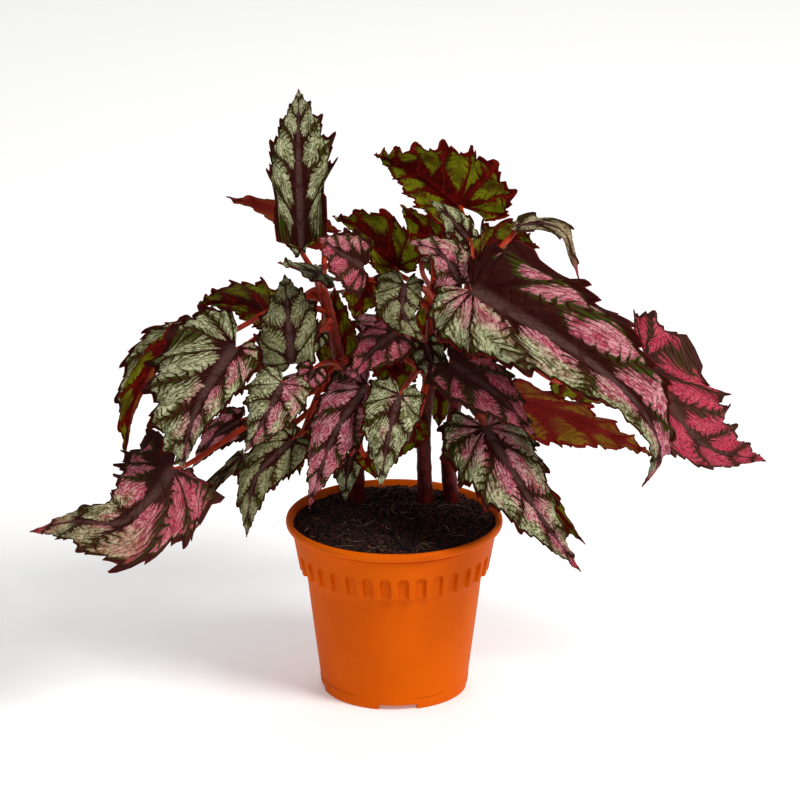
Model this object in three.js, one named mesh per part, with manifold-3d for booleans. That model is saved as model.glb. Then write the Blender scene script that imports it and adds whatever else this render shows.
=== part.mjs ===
// Potted rex begonia: an orange nursery pot, potting soil, three leafy canes and their leaf blades.
// Millimetres, +Z up, -Y is the front. The origin is the centre of the pot's foot, where the pot stands.
// Every leaf blade is one waved, toothed solid at the end of its own leaf stalk.

import * as THREE from 'three';
import { mergeVertices } from 'three/addons/utils/BufferGeometryUtils.js';
import Module from 'manifold-3d';

const wasm = await Module();
wasm.setup();

// Pot
const POT_HEIGHT = 132.4;
const RIM_RADIUS = 80;
const COLLAR_TOP_RADIUS = 75.5;
const COLLAR_BOTTOM_RADIUS = 69.8;
const BODY_TOP_RADIUS = 65;
const FOOT_RADIUS = 54.3;
const COLLAR_TOP = 124;
const COLLAR_BOTTOM = 93;
const WALL = 2;
const RIM_INSIDE_RADIUS = RIM_RADIUS - 3.4;
const RIM_INSIDE_HEIGHT = POT_HEIGHT - 0.6;
const FLOOR_UNDERSIDE = 4;
const FLOOR_TOP = 6.5;
const FOOT_PAD_RADIUS = 16;
const ARCH_COUNT = 34;
const ARCH_WIDTH = 7.8;
const ARCH_BOTTOM = 96;
const ARCH_TOP = 110;
const ARCH_DEPTH = 1.6;
const FOOT_NOTCH_COUNT = 4;
const FOOT_NOTCH_WIDTH = 29;
const FOOT_NOTCH_HEIGHT = 3.9;
const FOOT_NOTCH_DEPTH = 6;
const FOOT_NOTCH_OFFSET = 3;
const WALL_SEGMENTS = ARCH_COUNT;
const DRAIN_COUNT = 5;
const DRAIN_RADIUS = 4;
const DRAIN_CIRCLE = 31;

// The inside of the pot's wall, from the floor up to the rim, as radii and heights.
const INNER_WALL = [
  [FOOT_RADIUS - WALL, FLOOR_TOP], [BODY_TOP_RADIUS - WALL, COLLAR_BOTTOM],
  [COLLAR_TOP_RADIUS - WALL, COLLAR_TOP], [RIM_INSIDE_RADIUS, RIM_INSIDE_HEIGHT],
];

// Soil
const FIT_GAP = 0.35;
const SOIL_EDGE = 128.4;
const SOIL_MOUND = 2;
const SOIL_MOUND_CENTRE = [10, 36];
const SOIL_MOUND_SPREAD = 38;
const SOIL_ROUGHNESS = 1.1;

// Stems
const CANE_DEPTH_IN_SOIL = 16;
const CANE_SIDES = 8;
const CANE_STEPS = 9;
const CANE_FOOT_RADIUS = 6;
const CANE_TOP_RADIUS = 3.6;
const STALK_SIDES = 4;
const STALK_STEP_LENGTH = 26;
const STALK_FOOT_RADIUS = 2.6;
const STALK_TIP_RADIUS = 1.8;
const STALK_GAP = 0.35;
const STALK_END_GAP = 0.48;
const LEAST_GAP = 0.2;

// Leaf blades
const BLADE_THICKNESS = 0.9;
const BLADE_MESH = {
  large: { rows: 13, steps: 3 },
  medium: { rows: 11, steps: 2 },
  small: { rows: 7, steps: 2 },
};
const TOOTH_REACH = 0.1;
const MARGIN_RIPPLE = 0.07;
const STALK_FLAT = 4;

// Half of a blade's outline. Across is in half widths. Along is in blade lengths ahead of the stalk and in
// lobe lengths behind it.
const BLADE_OUTLINE = [
  [0.18, -0.75], [0.5, -1.0], [0.86, -0.55], [1.0, 0.1], [0.96, 0.26], [0.8, 0.45],
  [0.55, 0.63], [0.31, 0.78], [0.13, 0.89], [0.04, 0.96], [0, 1],
];
const VEIN_SLANT = 0.36;

const POT_FINISH = { color: 0xd85c08, roughness: 0.42 };
const SOIL_FINISH = { color: 0x1a130e, roughness: 0.95 };
const CANE_FINISH = { color: 0x5a1410, roughness: 0.5 };
const BLADE_FINISHES = {
  silver: { color: 0x93a882, roughness: 0.55 },
  pink: { color: 0xb0607a, roughness: 0.5 },
  plum: { color: 0x5a2338, roughness: 0.5 },
  dark: { color: 0x48573a, roughness: 0.55 },
  red: { color: 0x6e1410, roughness: 0.5 },
};

// Routes of the three canes, from the soil up.
const CANES = {
  left: [[-28, 38, 128], [-28, 34, 166], [-32, 28, 205], [-40, 22, 245], [-48, 17, 285], [-56, 12, 316]],
  centre: [[23, 35, 128], [22, 34, 184], [25, 30, 224], [27, 26, 264], [28, 22, 294]],
  right: [[43, 38, 128], [40, 34, 162], [43, 27, 195], [48, 20, 237], [53, 13, 286], [56, 12, 318]],
};

// One entry for each leaf.
// cane, climb: the cane that carries the stalk, and how far up it the stalk starts.
// rib: places that the midrib passes, from stalk to tip.
// face: the way that the upper side looks, at the stalk and at the tip.
// half, lobe, bend: width, basal lobe and droop in degrees of the left and the right half, seen from above
// with the tip ahead.
// fold: degrees by which both halves lift from the midrib.
// forward: how far the widest place of each half is moved towards the tip.
const LEAVES = [
  {
    name: 'tall', cane: 'left', climb: 0.93, size: 'large', tint: 'silver',
    rib: [[-67, -2, 339], [-69, 6, 396], [-69, 34, 449]],
    face: [[0.05, -1, 0.12], [0.05, -1, 0.25]], half: [25, 31], lobe: [8, 4],
    bend: [20, 10], fold: 8, forward: [0.9, 1.2],
  },
  {
    name: 'tall_behind', cane: 'left', climb: 0.85, size: 'small', tint: 'red',
    rib: [[-52, 70, 330], [-90, 82, 344], [-125, 96, 349]],
    face: [[0, 0.95, 0.3], [0, 0.95, 0.3]], half: [14, 16], lobe: [12, 12],
    bend: [20, 20], fold: 0, forward: [0, 0],
  },
  {
    name: 'pink_crown', cane: 'left', climb: 0.97, size: 'medium', tint: 'pink',
    rib: [[-23, -22, 333], [-39, -44, 350], [-54, -62, 367]],
    face: [[0.1, -0.85, 0.5], [0, -0.8, 0.6]], half: [24, 24], lobe: [12, 12],
    bend: [25, 25], fold: 5, forward: [0, 0],
  },
  {
    name: 'crown_edge', cane: 'left', climb: 0.9, size: 'small', tint: 'silver',
    rib: [[-52, -18, 326], [-67, -34, 334], [-83, -48, 344]],
    face: [[0.1, -0.35, 0.94], [0, -0.35, 0.94]], half: [16, 18], lobe: [6, 6],
    bend: [20, 30], fold: 8, forward: [0, 0],
  },
  {
    name: 'red_fan', cane: 'centre', climb: 0.97, size: 'medium', tint: 'red',
    rib: [[1, 52, 307], [-19, 62, 332], [-46, 70, 342]],
    face: [[0, 0.95, 0.3], [0, 0.9, 0.4]], half: [30, 14], lobe: [10, 8],
    bend: [20, 40], fold: 0, forward: [0.2, 0],
  },
  {
    name: 'top_fan', cane: 'right', climb: 0.97, size: 'large', tint: 'red',
    rib: [[48, 55, 354], [17, 58, 378], [-15, 60, 392]],
    face: [[0, 0.95, 0.25], [0, 0.9, 0.4]], half: [46, 22], lobe: [32, 8],
    bend: [10, 45], fold: 0, forward: [0.15, 0.3],
  },
  {
    name: 'crown_curl', cane: 'right', climb: 0.95, size: 'small', tint: 'dark',
    rib: [[53, 10, 344], [39, 2, 363], [26, -4, 377]],
    face: [[0, -0.7, 0.7], [0, -0.7, 0.7]], half: [15, 15], lobe: [8, 8],
    bend: [30, 30], fold: 6, forward: [0, 0],
  },
  {
    name: 'burgundy', cane: 'right', climb: 0.93, size: 'medium', tint: 'red',
    rib: [[63, 70, 308], [84, 80, 318], [108, 86, 312]],
    face: [[0, 0.85, 0.5], [0, 0.85, 0.5]], half: [18, 38], lobe: [10, 18],
    bend: [20, 25], fold: 0, forward: [0, 0],
  },
  {
    name: 'right_edge', cane: 'right', climb: 0.9, size: 'small', tint: 'silver',
    rib: [[90, 48, 341], [110, 44, 344], [125, 41, 337], [130, 38, 321], [136, 36, 301]],
    face: [[0, -0.35, 0.94], [0.5, -0.8, 0.3]], half: [10, 7], lobe: [5, 5],
    bend: [10, 25], fold: 6, forward: [0, 0],
  },
  {
    name: 'great', cane: 'right', climb: 0.9, size: 'large', tint: 'pink',
    rib: [
      [56, -48, 323], [118, -84, 296], [167, -100, 261],
      [187, -100, 228], [187, -98, 208], [177, -94, 190],
    ],
    face: [[0.15, -0.78, 0.62], [0.6, -0.75, 0.3]], half: [56, 44], lobe: [16, 22],
    bend: [35, 38], fold: 8, forward: [0.1, -0.3],
  },
  {
    name: 'far_right', cane: 'right', climb: 0.8, size: 'large', tint: 'pink',
    rib: [[183, 0, 255], [200, -14, 226], [227, -22, 195], [271, -24, 184]],
    face: [[0.1, -0.85, 0.5], [0.2, -0.8, 0.55]], half: [43, 27], lobe: [36, 8],
    bend: [20, 20], fold: 8, forward: [0.8, 0.2],
  },
  {
    name: 'low_right', cane: 'right', climb: 0.62, size: 'large', tint: 'red',
    rib: [[80, 72, 201], [124, 88, 182], [164, 94, 161], [197, 96, 144]],
    face: [[0, 0.9, 0.42], [0, 0.9, 0.42]], half: [34, 26], lobe: [10, 10],
    bend: [20, 25], fold: 0, forward: [0.1, 0.1],
  },
  {
    name: 'right_shade', cane: 'right', climb: 0.75, size: 'small', tint: 'red',
    rib: [[128, 60, 218], [149, 66, 204], [169, 70, 194]],
    face: [[0, 0.8, 0.6], [0, 0.8, 0.6]], half: [18, 18], lobe: [8, 8],
    bend: [20, 20], fold: 0, forward: [0, 0],
  },
  {
    name: 'plum', cane: 'right', climb: 0.7, size: 'medium', tint: 'plum',
    rib: [[42, -40, 265], [76, -66, 248], [102, -76, 221]],
    face: [[0.1, -0.8, 0.58], [0.2, -0.8, 0.5]], half: [26, 26], lobe: [14, 14],
    bend: [35, 35], fold: 6, forward: [0, 0],
  },
  {
    name: 'front_right', cane: 'right', climb: 0.52, size: 'large', tint: 'silver',
    rib: [[66, -46, 218], [87, -78, 193], [109, -96, 162], [134, -104, 129]],
    face: [[0.1, -0.85, 0.5], [0.3, -0.85, 0.4]], half: [30, 38], lobe: [12, 24],
    bend: [35, 35], fold: 6, forward: [-0.15, -0.1],
  },
  {
    name: 'front_right_back', cane: 'right', climb: 0.5, size: 'small', tint: 'red',
    rib: [[98, -20, 176], [119, -40, 152], [139, -52, 130]],
    face: [[0.3, 0.8, 0.5], [0.3, 0.8, 0.5]], half: [15, 15], lobe: [6, 6],
    bend: [20, 20], fold: 0, forward: [0, 0],
  },
  {
    name: 'front_left', cane: 'left', climb: 0.62, size: 'large', tint: 'pink',
    rib: [[-20, -38, 246], [-41, -64, 223], [-53, -78, 196], [-61, -84, 170]],
    face: [[-0.2, -0.9, 0.42], [-0.2, -0.9, 0.3]], half: [24, 28], lobe: [14, 18],
    bend: [35, 35], fold: 6, forward: [0, 0],
  },
  {
    name: 'magenta', cane: 'centre', climb: 0.72, size: 'medium', tint: 'plum',
    rib: [[0, -30, 284], [-16, -46, 276], [-32, -56, 258]],
    face: [[0, -0.8, 0.58], [-0.1, -0.8, 0.5]], half: [20, 20], lobe: [12, 10],
    bend: [30, 30], fold: 5, forward: [0, 0],
  },
  {
    name: 'front', cane: 'centre', climb: 0.6, size: 'medium', tint: 'silver',
    rib: [[4, -62, 248], [-4, -84, 224], [-10, -88, 187]],
    face: [[0, -0.9, 0.42], [0, -0.95, 0.3]], half: [20, 26], lobe: [12, 14],
    bend: [35, 35], fold: 6, forward: [0, 0],
  },
  {
    name: 'young_crown', cane: 'centre', climb: 0.93, size: 'medium', tint: 'dark',
    rib: [[8, -40, 324], [7, -60, 309], [21, -64, 290]],
    face: [[0, -0.85, 0.5], [0, -0.9, 0.4]], half: [14, 24], lobe: [10, 14],
    bend: [30, 30], fold: 5, forward: [0, 0],
  },
  {
    name: 'silver_crown', cane: 'right', climb: 0.94, size: 'medium', tint: 'silver',
    rib: [[48, -30, 323], [33, -44, 349], [10, -58, 364]],
    face: [[0, -0.75, 0.66], [0, -0.7, 0.7]], half: [22, 22], lobe: [10, 10],
    bend: [30, 30], fold: 6, forward: [0, 0],
  },
  {
    name: 'left_upright', cane: 'left', climb: 0.75, size: 'medium', tint: 'silver',
    rib: [[-74, -30, 263], [-76, -30, 292], [-79, -14, 324]],
    face: [[-0.1, -1, 0.1], [0, -1, 0.25]], half: [26, 26], lobe: [10, 3],
    bend: [35, 30], fold: 8, forward: [0.3, 0.8],
  },
  {
    name: 'left_silver', cane: 'left', climb: 0.8, size: 'large', tint: 'silver',
    rib: [[-114, -46, 278], [-134, -72, 254], [-146, -82, 229], [-152, -84, 198]],
    face: [[-0.2, -0.85, 0.5], [-0.2, -0.9, 0.4]], half: [22, 54], lobe: [12, 26],
    bend: [35, 25], fold: 6, forward: [0, 0.35],
  },
  {
    name: 'left_arch', cane: 'left', climb: 0.85, size: 'large', tint: 'red',
    rib: [[-138, 58, 253], [-172, 70, 235], [-196, 72, 191], [-202, 66, 150]],
    face: [[-0.1, 0.95, 0.3], [-0.3, 0.95, 0.1]], half: [28, 7], lobe: [28, 5],
    bend: [20, 25], fold: 0, forward: [0, 0],
  },
  {
    name: 'left_red', cane: 'left', climb: 0.9, size: 'medium', tint: 'red',
    rib: [[-88, 66, 264], [-115, 76, 273], [-147, 84, 268]],
    face: [[0, 0.85, 0.5], [0, 0.85, 0.5]], half: [42, 16], lobe: [24, 8],
    bend: [20, 40], fold: 0, forward: [0, 0],
  },
  {
    name: 'low_left', cane: 'left', climb: 0.45, size: 'large', tint: 'pink',
    rib: [[-160, -58, 191], [-175, -81, 176], [-197, -94, 163], [-230, -92, 163], [-262, -86, 153]],
    face: [[-0.2, -0.85, 0.5], [-0.2, -0.8, 0.55]], half: [42, 42], lobe: [2, 30],
    bend: [20, 25], fold: 5, forward: [0.14, -0.45],
  },
  {
    name: 'low_left_back', cane: 'left', climb: 0.5, size: 'small', tint: 'plum',
    rib: [[-113, 0, 207], [-132, -6, 196], [-148, -8, 173]],
    face: [[-0.1, -0.8, 0.6], [-0.1, -0.8, 0.6]], half: [14, 14], lobe: [8, 8],
    bend: [25, 25], fold: 4, forward: [0, 0],
  },
  {
    name: 'left_dull', cane: 'left', climb: 0.5, size: 'medium', tint: 'silver',
    rib: [[-74, -40, 206], [-100, -60, 184], [-107, -66, 141]],
    face: [[-0.2, -0.85, 0.5], [-0.1, -0.95, 0.3]], half: [19, 20], lobe: [10, 12],
    bend: [30, 35], fold: 6, forward: [0.1, 0.1],
  },
  {
    name: 'left_thin', cane: 'left', climb: 0.47, size: 'small', tint: 'silver',
    rib: [[-111, -14, 185], [-133, -24, 164], [-140, -28, 146], [-147, -28, 130]],
    face: [[-0.5, -0.5, 0.7], [-0.6, -0.6, 0.5]], half: [7, 9], lobe: [4, 4],
    bend: [25, 35], fold: 6, forward: [0, 0],
  },
  {
    name: 'left_pink', cane: 'left', climb: 0.45, size: 'medium', tint: 'pink',
    rib: [[-80, -58, 256], [-90, -74, 240], [-107, -82, 212]],
    face: [[-0.1, -0.85, 0.5], [-0.1, -0.85, 0.5]], half: [24, 24], lobe: [12, 12],
    bend: [30, 30], fold: 5, forward: [0, 0],
  },
  {
    name: 'young_left', cane: 'left', climb: 0.55, size: 'small', tint: 'plum',
    rib: [[-58, -42, 261], [-62, -48, 254], [-66, -52, 245]],
    face: [[0, -0.85, 0.5], [0, -0.85, 0.5]], half: [12, 12], lobe: [5, 5],
    bend: [25, 25], fold: 5, forward: [0, 0],
  },
  {
    name: 'dark_left', cane: 'left', climb: 0.78, size: 'small', tint: 'dark',
    rib: [[-54, -18, 280], [-60, -22, 272], [-66, -24, 262]],
    face: [[0, -0.85, 0.5], [0, -0.85, 0.5]], half: [9, 10], lobe: [4, 4],
    bend: [25, 25], fold: 5, forward: [0, 0],
  },
  {
    name: 'olive_upright', cane: 'left', climb: 0.7, size: 'medium', tint: 'red',
    rib: [[-39, 36, 238], [-43, 38, 268], [-44, 44, 296]],
    face: [[0, 1, 0.05], [0, 1, 0.1]], half: [20, 20], lobe: [8, 8],
    bend: [50, 50], fold: -5, forward: [0.2, 0.2],
  },
  {
    name: 'dark_crown', cane: 'centre', climb: 0.9, size: 'small', tint: 'red',
    rib: [[-18, 30, 306], [-24, 32, 291], [-30, 32, 275]],
    face: [[0, 0.9, 0.4], [0, 0.9, 0.4]], half: [18, 18], lobe: [6, 6],
    bend: [30, 30], fold: 0, forward: [0.3, 0.3],
  },
  {
    name: 'shade_right', cane: 'centre', climb: 0.8, size: 'small', tint: 'red',
    rib: [[27, 64, 244], [26, 68, 265], [25, 74, 286]],
    face: [[0, 1, 0.1], [0, 1, 0.2]], half: [16, 16], lobe: [6, 6],
    bend: [30, 30], fold: 0, forward: [0, 0],
  },
  {
    name: 'spotted', cane: 'centre', climb: 0.7, size: 'small', tint: 'dark',
    rib: [[23, -22, 273], [28, -30, 260], [32, -34, 243]],
    face: [[0.1, -0.85, 0.5], [0.1, -0.85, 0.5]], half: [14, 14], lobe: [6, 6],
    bend: [25, 25], fold: 5, forward: [0, 0],
  },
  {
    name: 'olive_low', cane: 'centre', climb: 0.65, size: 'small', tint: 'red',
    rib: [[15, 20, 197], [6, 22, 181], [-2, 22, 166]],
    face: [[0, 0.95, 0.3], [0, 0.95, 0.3]], half: [14, 14], lobe: [6, 6],
    bend: [25, 25], fold: 0, forward: [0, 0],
  },
  {
    name: 'near_soil', cane: 'left', climb: 0.3, size: 'small', tint: 'dark',
    rib: [[-32, -2, 179], [-35, -8, 164], [-36, -10, 147]],
    face: [[0, -0.95, 0.3], [0, -0.95, 0.3]], half: [11, 12], lobe: [4, 4],
    bend: [25, 25], fold: 4, forward: [0, 0],
  },
  {
    name: 'red_low', cane: 'left', climb: 0.55, size: 'small', tint: 'red',
    rib: [[-21, -20, 187], [-17, -24, 179], [-13, -24, 170]],
    face: [[0, 0.95, 0.3], [0, 0.95, 0.3]], half: [7, 7], lobe: [3, 3],
    bend: [20, 20], fold: 0, forward: [0, 0],
  },
  {
    name: 'left_inner', cane: 'left', climb: 0.75, size: 'small', tint: 'red',
    rib: [[-90, -12, 264], [-100, -18, 259], [-109, -20, 250]],
    face: [[0, 0.9, 0.4], [0, 0.9, 0.4]], half: [10, 10], lobe: [4, 4],
    bend: [20, 20], fold: 0, forward: [0, 0],
  },
  {
    name: 'crown_red', cane: 'centre', climb: 0.95, size: 'small', tint: 'red',
    rib: [[30, 34, 333], [17, 40, 347], [4, 44, 359]],
    face: [[0, 0.9, 0.4], [0, 0.9, 0.4]], half: [16, 16], lobe: [8, 8],
    bend: [25, 25], fold: 0, forward: [0, 0],
  },
  {
    name: 'shade_centre', cane: 'centre', climb: 0.6, size: 'small', tint: 'red',
    rib: [[3, 66, 234], [-1, 70, 214], [-3, 70, 197]],
    face: [[0, 0.9, 0.4], [0, 0.9, 0.4]], half: [20, 20], lobe: [8, 8],
    bend: [25, 25], fold: 0, forward: [0, 0],
  },
  {
    name: 'shade_low', cane: 'right', climb: 0.55, size: 'small', tint: 'red',
    rib: [[37, 52, 217], [34, 58, 198], [33, 60, 180]],
    face: [[0, 0.9, 0.4], [0, 0.9, 0.4]], half: [14, 14], lobe: [6, 6],
    bend: [25, 25], fold: 0, forward: [0, 0],
  },
  {
    name: 'left_olive', cane: 'left', climb: 0.62, size: 'small', tint: 'red',
    rib: [[-67, -12, 202], [-70, -16, 187], [-69, -16, 170]],
    face: [[0, 0.95, 0.3], [0, 0.95, 0.3]], half: [12, 10], lobe: [4, 4],
    bend: [20, 20], fold: 0, forward: [0, 0],
  },
  {
    name: 'back_high', cane: 'centre', climb: 0.95, size: 'large', tint: 'silver',
    rib: [[20, 95, 300], [25, 135, 295], [30, 180, 262]],
    face: [[0, 0.6, 0.8], [0, 0.85, 0.5]], half: [34, 34], lobe: [18, 18],
    bend: [35, 35], fold: 6, forward: [0, 0],
  },
  {
    name: 'back_left', cane: 'left', climb: 0.4, size: 'large', tint: 'pink',
    rib: [[-45, 95, 275], [-75, 128, 258], [-100, 150, 215]],
    face: [[-0.4, 0.6, 0.7], [-0.4, 0.85, 0.4]], half: [32, 32], lobe: [16, 16],
    bend: [35, 35], fold: 6, forward: [0, 0],
  },
  {
    name: 'back_right', cane: 'right', climb: 0.85, size: 'large', tint: 'silver',
    rib: [[78, 100, 280], [103, 132, 265], [124, 158, 226]],
    face: [[0.4, 0.6, 0.7], [0.4, 0.85, 0.4]], half: [32, 32], lobe: [16, 16],
    bend: [35, 35], fold: 6, forward: [0, 0],
  },
  {
    name: 'back_mid', cane: 'centre', climb: 0.75, size: 'medium', tint: 'pink',
    rib: [[0, 92, 250], [-8, 138, 240], [-14, 172, 200]],
    face: [[0, 0.6, 0.8], [0, 0.85, 0.4]], half: [30, 30], lobe: [14, 14],
    bend: [35, 35], fold: 6, forward: [0, 0],
  },
  {
    name: 'back_low_right', cane: 'right', climb: 0.57, size: 'medium', tint: 'silver',
    rib: [[52, 88, 215], [66, 125, 202], [76, 155, 162]],
    face: [[0.2, 0.6, 0.8], [0.2, 0.85, 0.4]], half: [28, 28], lobe: [14, 14],
    bend: [35, 35], fold: 6, forward: [0, 0],
  },
  {
    name: 'back_low_left', cane: 'left', climb: 0.45, size: 'medium', tint: 'plum',
    rib: [[-50, 88, 212], [-66, 122, 200], [-78, 150, 160]],
    face: [[-0.2, 0.6, 0.8], [-0.2, 0.85, 0.4]], half: [28, 28], lobe: [14, 14],
    bend: [35, 35], fold: 6, forward: [0, 0],
  },
];

// ---------------------------------------------------------------- solids

function vector(values) {
  return new THREE.Vector3(...values);
}

function solidFrom(positions, triangles) {
  const properties = new Float32Array(positions.flatMap((p) => [p.x, p.y, p.z]));
  const corners = new Uint32Array(triangles);
  return new wasm.Manifold(new wasm.Mesh({ numProp: 3, vertProperties: properties, triVerts: corners }));
}

function solidFromGeometry(geometry) {
  const bare = geometry.clone();
  bare.deleteAttribute('normal');
  bare.deleteAttribute('uv');
  const merged = mergeVertices(bare, 1e-4);
  const mesh = new wasm.Mesh({
    numProp: 3,
    vertProperties: new Float32Array(merged.attributes.position.array),
    triVerts: new Uint32Array(merged.index.array),
  });
  return new wasm.Manifold(mesh);
}

function geometryFrom(solid) {
  const mesh = solid.getMesh();
  const geometry = new THREE.BufferGeometry();
  geometry.setAttribute('position', new THREE.BufferAttribute(new Float32Array(mesh.vertProperties), 3));
  geometry.setIndex(new THREE.BufferAttribute(new Uint32Array(mesh.triVerts), 1));
  return geometry;
}

function latheAroundZ(profile, segments) {
  const geometry = new THREE.LatheGeometry(profile.map(([r, z]) => new THREE.Vector2(r, z)), segments);
  geometry.rotateX(Math.PI / 2);
  return geometry;
}

function smoothStep(from, to, value) {
  const t = Math.min(1, Math.max(0, (value - from) / (to - from)));
  return t * t * (3 - 2 * t);
}

// The rings of a round tube along the given places, narrowing from its foot to its tip.
function tubeRings(places, footRadius, tipRadius, sides) {
  const positions = [];
  const last = places.length - 1;
  let across = vector([1, 0, 0]);
  if (Math.abs(places[1].x - places[0].x) > 0.9 * places[1].distanceTo(places[0])) {
    across = vector([0, 1, 0]);
  }
  places.forEach((place, step) => {
    const before = places[Math.max(step - 1, 0)];
    const ahead = places[Math.min(step + 1, last)].clone().sub(before).normalize();
    across = across.clone().addScaledVector(ahead, -across.dot(ahead)).normalize();
    const beside = ahead.clone().cross(across);
    const radius = footRadius + (tipRadius - footRadius) * (step / last);
    for (let side = 0; side < sides; side += 1) {
      const angle = (2 * Math.PI * side) / sides;
      const point = place.clone().addScaledVector(across, radius * Math.cos(angle));
      positions.push(point.addScaledVector(beside, radius * Math.sin(angle)));
    }
  });
  return positions;
}

// A solid tube with flat closed ends.
function taperedTube(places, footRadius, tipRadius, sides) {
  const positions = tubeRings(places, footRadius, tipRadius, sides);
  const triangles = [];
  const last = places.length - 1;
  for (let step = 0; step < last; step += 1) {
    for (let side = 0; side < sides; side += 1) {
      const a = step * sides + side;
      const b = step * sides + ((side + 1) % sides);
      triangles.push(a, b, b + sides, a, b + sides, a + sides);
    }
  }
  const top = last * sides;
  for (let side = 1; side < sides - 1; side += 1) {
    triangles.push(0, side + 1, side);
    triangles.push(top, top + side, top + side + 1);
  }
  return solidFrom(positions, triangles);
}

// ---------------------------------------------------------------- pot and soil

function archCutter(angle) {
  const shape = new THREE.Shape();
  const springing = ARCH_TOP - ARCH_WIDTH / 2;
  shape.moveTo(-ARCH_WIDTH / 2, ARCH_BOTTOM);
  shape.lineTo(ARCH_WIDTH / 2, ARCH_BOTTOM);
  shape.lineTo(ARCH_WIDTH / 2, springing);
  shape.absarc(0, springing, ARCH_WIDTH / 2, 0, Math.PI, false);
  const depth = COLLAR_TOP_RADIUS - BODY_TOP_RADIUS;
  const geometry = new THREE.ExtrudeGeometry(shape, { depth, bevelEnabled: false, curveSegments: 2 });
  geometry.rotateX(Math.PI / 2);
  const middle = (ARCH_TOP + ARCH_BOTTOM) / 2;
  const lean = Math.atan2(COLLAR_TOP_RADIUS - COLLAR_BOTTOM_RADIUS, COLLAR_TOP - COLLAR_BOTTOM);
  const rise = (middle - COLLAR_BOTTOM) / (COLLAR_TOP - COLLAR_BOTTOM);
  const surface = COLLAR_BOTTOM_RADIUS + rise * (COLLAR_TOP_RADIUS - COLLAR_BOTTOM_RADIUS);
  geometry.translate(0, 0, -middle);
  geometry.rotateX(lean);
  geometry.translate(0, -surface * Math.cos(Math.PI / WALL_SEGMENTS) + ARCH_DEPTH, middle);
  geometry.rotateZ(angle);
  return solidFromGeometry(geometry);
}

// A notch through the foot ring, which lets water out from under the pot.
function footNotch(angle) {
  const notch = new THREE.BoxGeometry(FOOT_NOTCH_WIDTH, 2 * FOOT_NOTCH_DEPTH, 2 * FOOT_NOTCH_HEIGHT);
  notch.translate(FOOT_NOTCH_OFFSET, -FOOT_RADIUS, 0);
  notch.rotateZ(angle);
  return solidFromGeometry(notch);
}

function drainHole(angle) {
  const hole = new THREE.CylinderGeometry(DRAIN_RADIUS, DRAIN_RADIUS, FLOOR_TOP * 3, 8);
  hole.rotateX(Math.PI / 2);
  hole.translate(DRAIN_CIRCLE, 0, 0);
  hole.rotateZ(angle);
  return solidFromGeometry(hole);
}

// Half of the pot's section, from the underside's centre up the outside, over the rim and down the inside.
function potProfile() {
  const ringWidth = 2.8;
  const ringSlope = 0.4;
  return [
    [0, 0], [FOOT_PAD_RADIUS, 0], [FOOT_PAD_RADIUS + 1, FLOOR_UNDERSIDE],
    [FOOT_RADIUS - 0.8 - ringWidth - ringSlope, FLOOR_UNDERSIDE], [FOOT_RADIUS - 0.8 - ringWidth, 0],
    [FOOT_RADIUS - 0.8, 0], [FOOT_RADIUS, 1], [BODY_TOP_RADIUS, COLLAR_BOTTOM - 1.5],
    [COLLAR_BOTTOM_RADIUS, COLLAR_BOTTOM], [COLLAR_TOP_RADIUS, COLLAR_TOP],
    [RIM_RADIUS - 1.6, COLLAR_TOP + 1.4], [RIM_RADIUS, COLLAR_TOP + 3.6], [RIM_RADIUS, POT_HEIGHT - 2],
    [RIM_RADIUS - 1.4, POT_HEIGHT], ...[...INNER_WALL].reverse(), [0, FLOOR_TOP],
  ];
}

function makePot() {
  let pot = solidFromGeometry(latheAroundZ(potProfile(), WALL_SEGMENTS));
  for (let i = 0; i < ARCH_COUNT; i += 1) {
    pot = pot.subtract(archCutter((2 * Math.PI * (i + 0.5)) / ARCH_COUNT));
  }
  for (let i = 0; i < FOOT_NOTCH_COUNT; i += 1) {
    pot = pot.subtract(footNotch((2 * Math.PI * i) / FOOT_NOTCH_COUNT));
  }
  for (let i = 0; i < DRAIN_COUNT; i += 1) {
    pot = pot.subtract(drainHole((2 * Math.PI * (i + 0.5)) / DRAIN_COUNT));
  }
  return geometryFrom(pot);
}

function soilHeight(x, y) {
  const [cx, cy] = SOIL_MOUND_CENTRE;
  const away = ((x - cx) ** 2 + (y - cy) ** 2) / (2 * SOIL_MOUND_SPREAD ** 2);
  const lumps = Math.sin(x * 0.31 + 1.3) * Math.cos(y * 0.27) + 0.6 * Math.sin(x * 0.11 - y * 0.19);
  return SOIL_EDGE + SOIL_MOUND * Math.exp(-away) + SOIL_ROUGHNESS * lumps;
}

// Radius of the soil against the pot's wall at a height, with the fit gap left free.
function soilRadius(height) {
  const above = Math.max(1, INNER_WALL.findIndex(([, level]) => level >= height));
  const [lowRadius, low] = INNER_WALL[above - 1];
  const [highRadius, high] = INNER_WALL[above];
  return lowRadius + ((highRadius - lowRadius) * (height - low)) / (high - low) - 1.3 * FIT_GAP;
}

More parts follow.
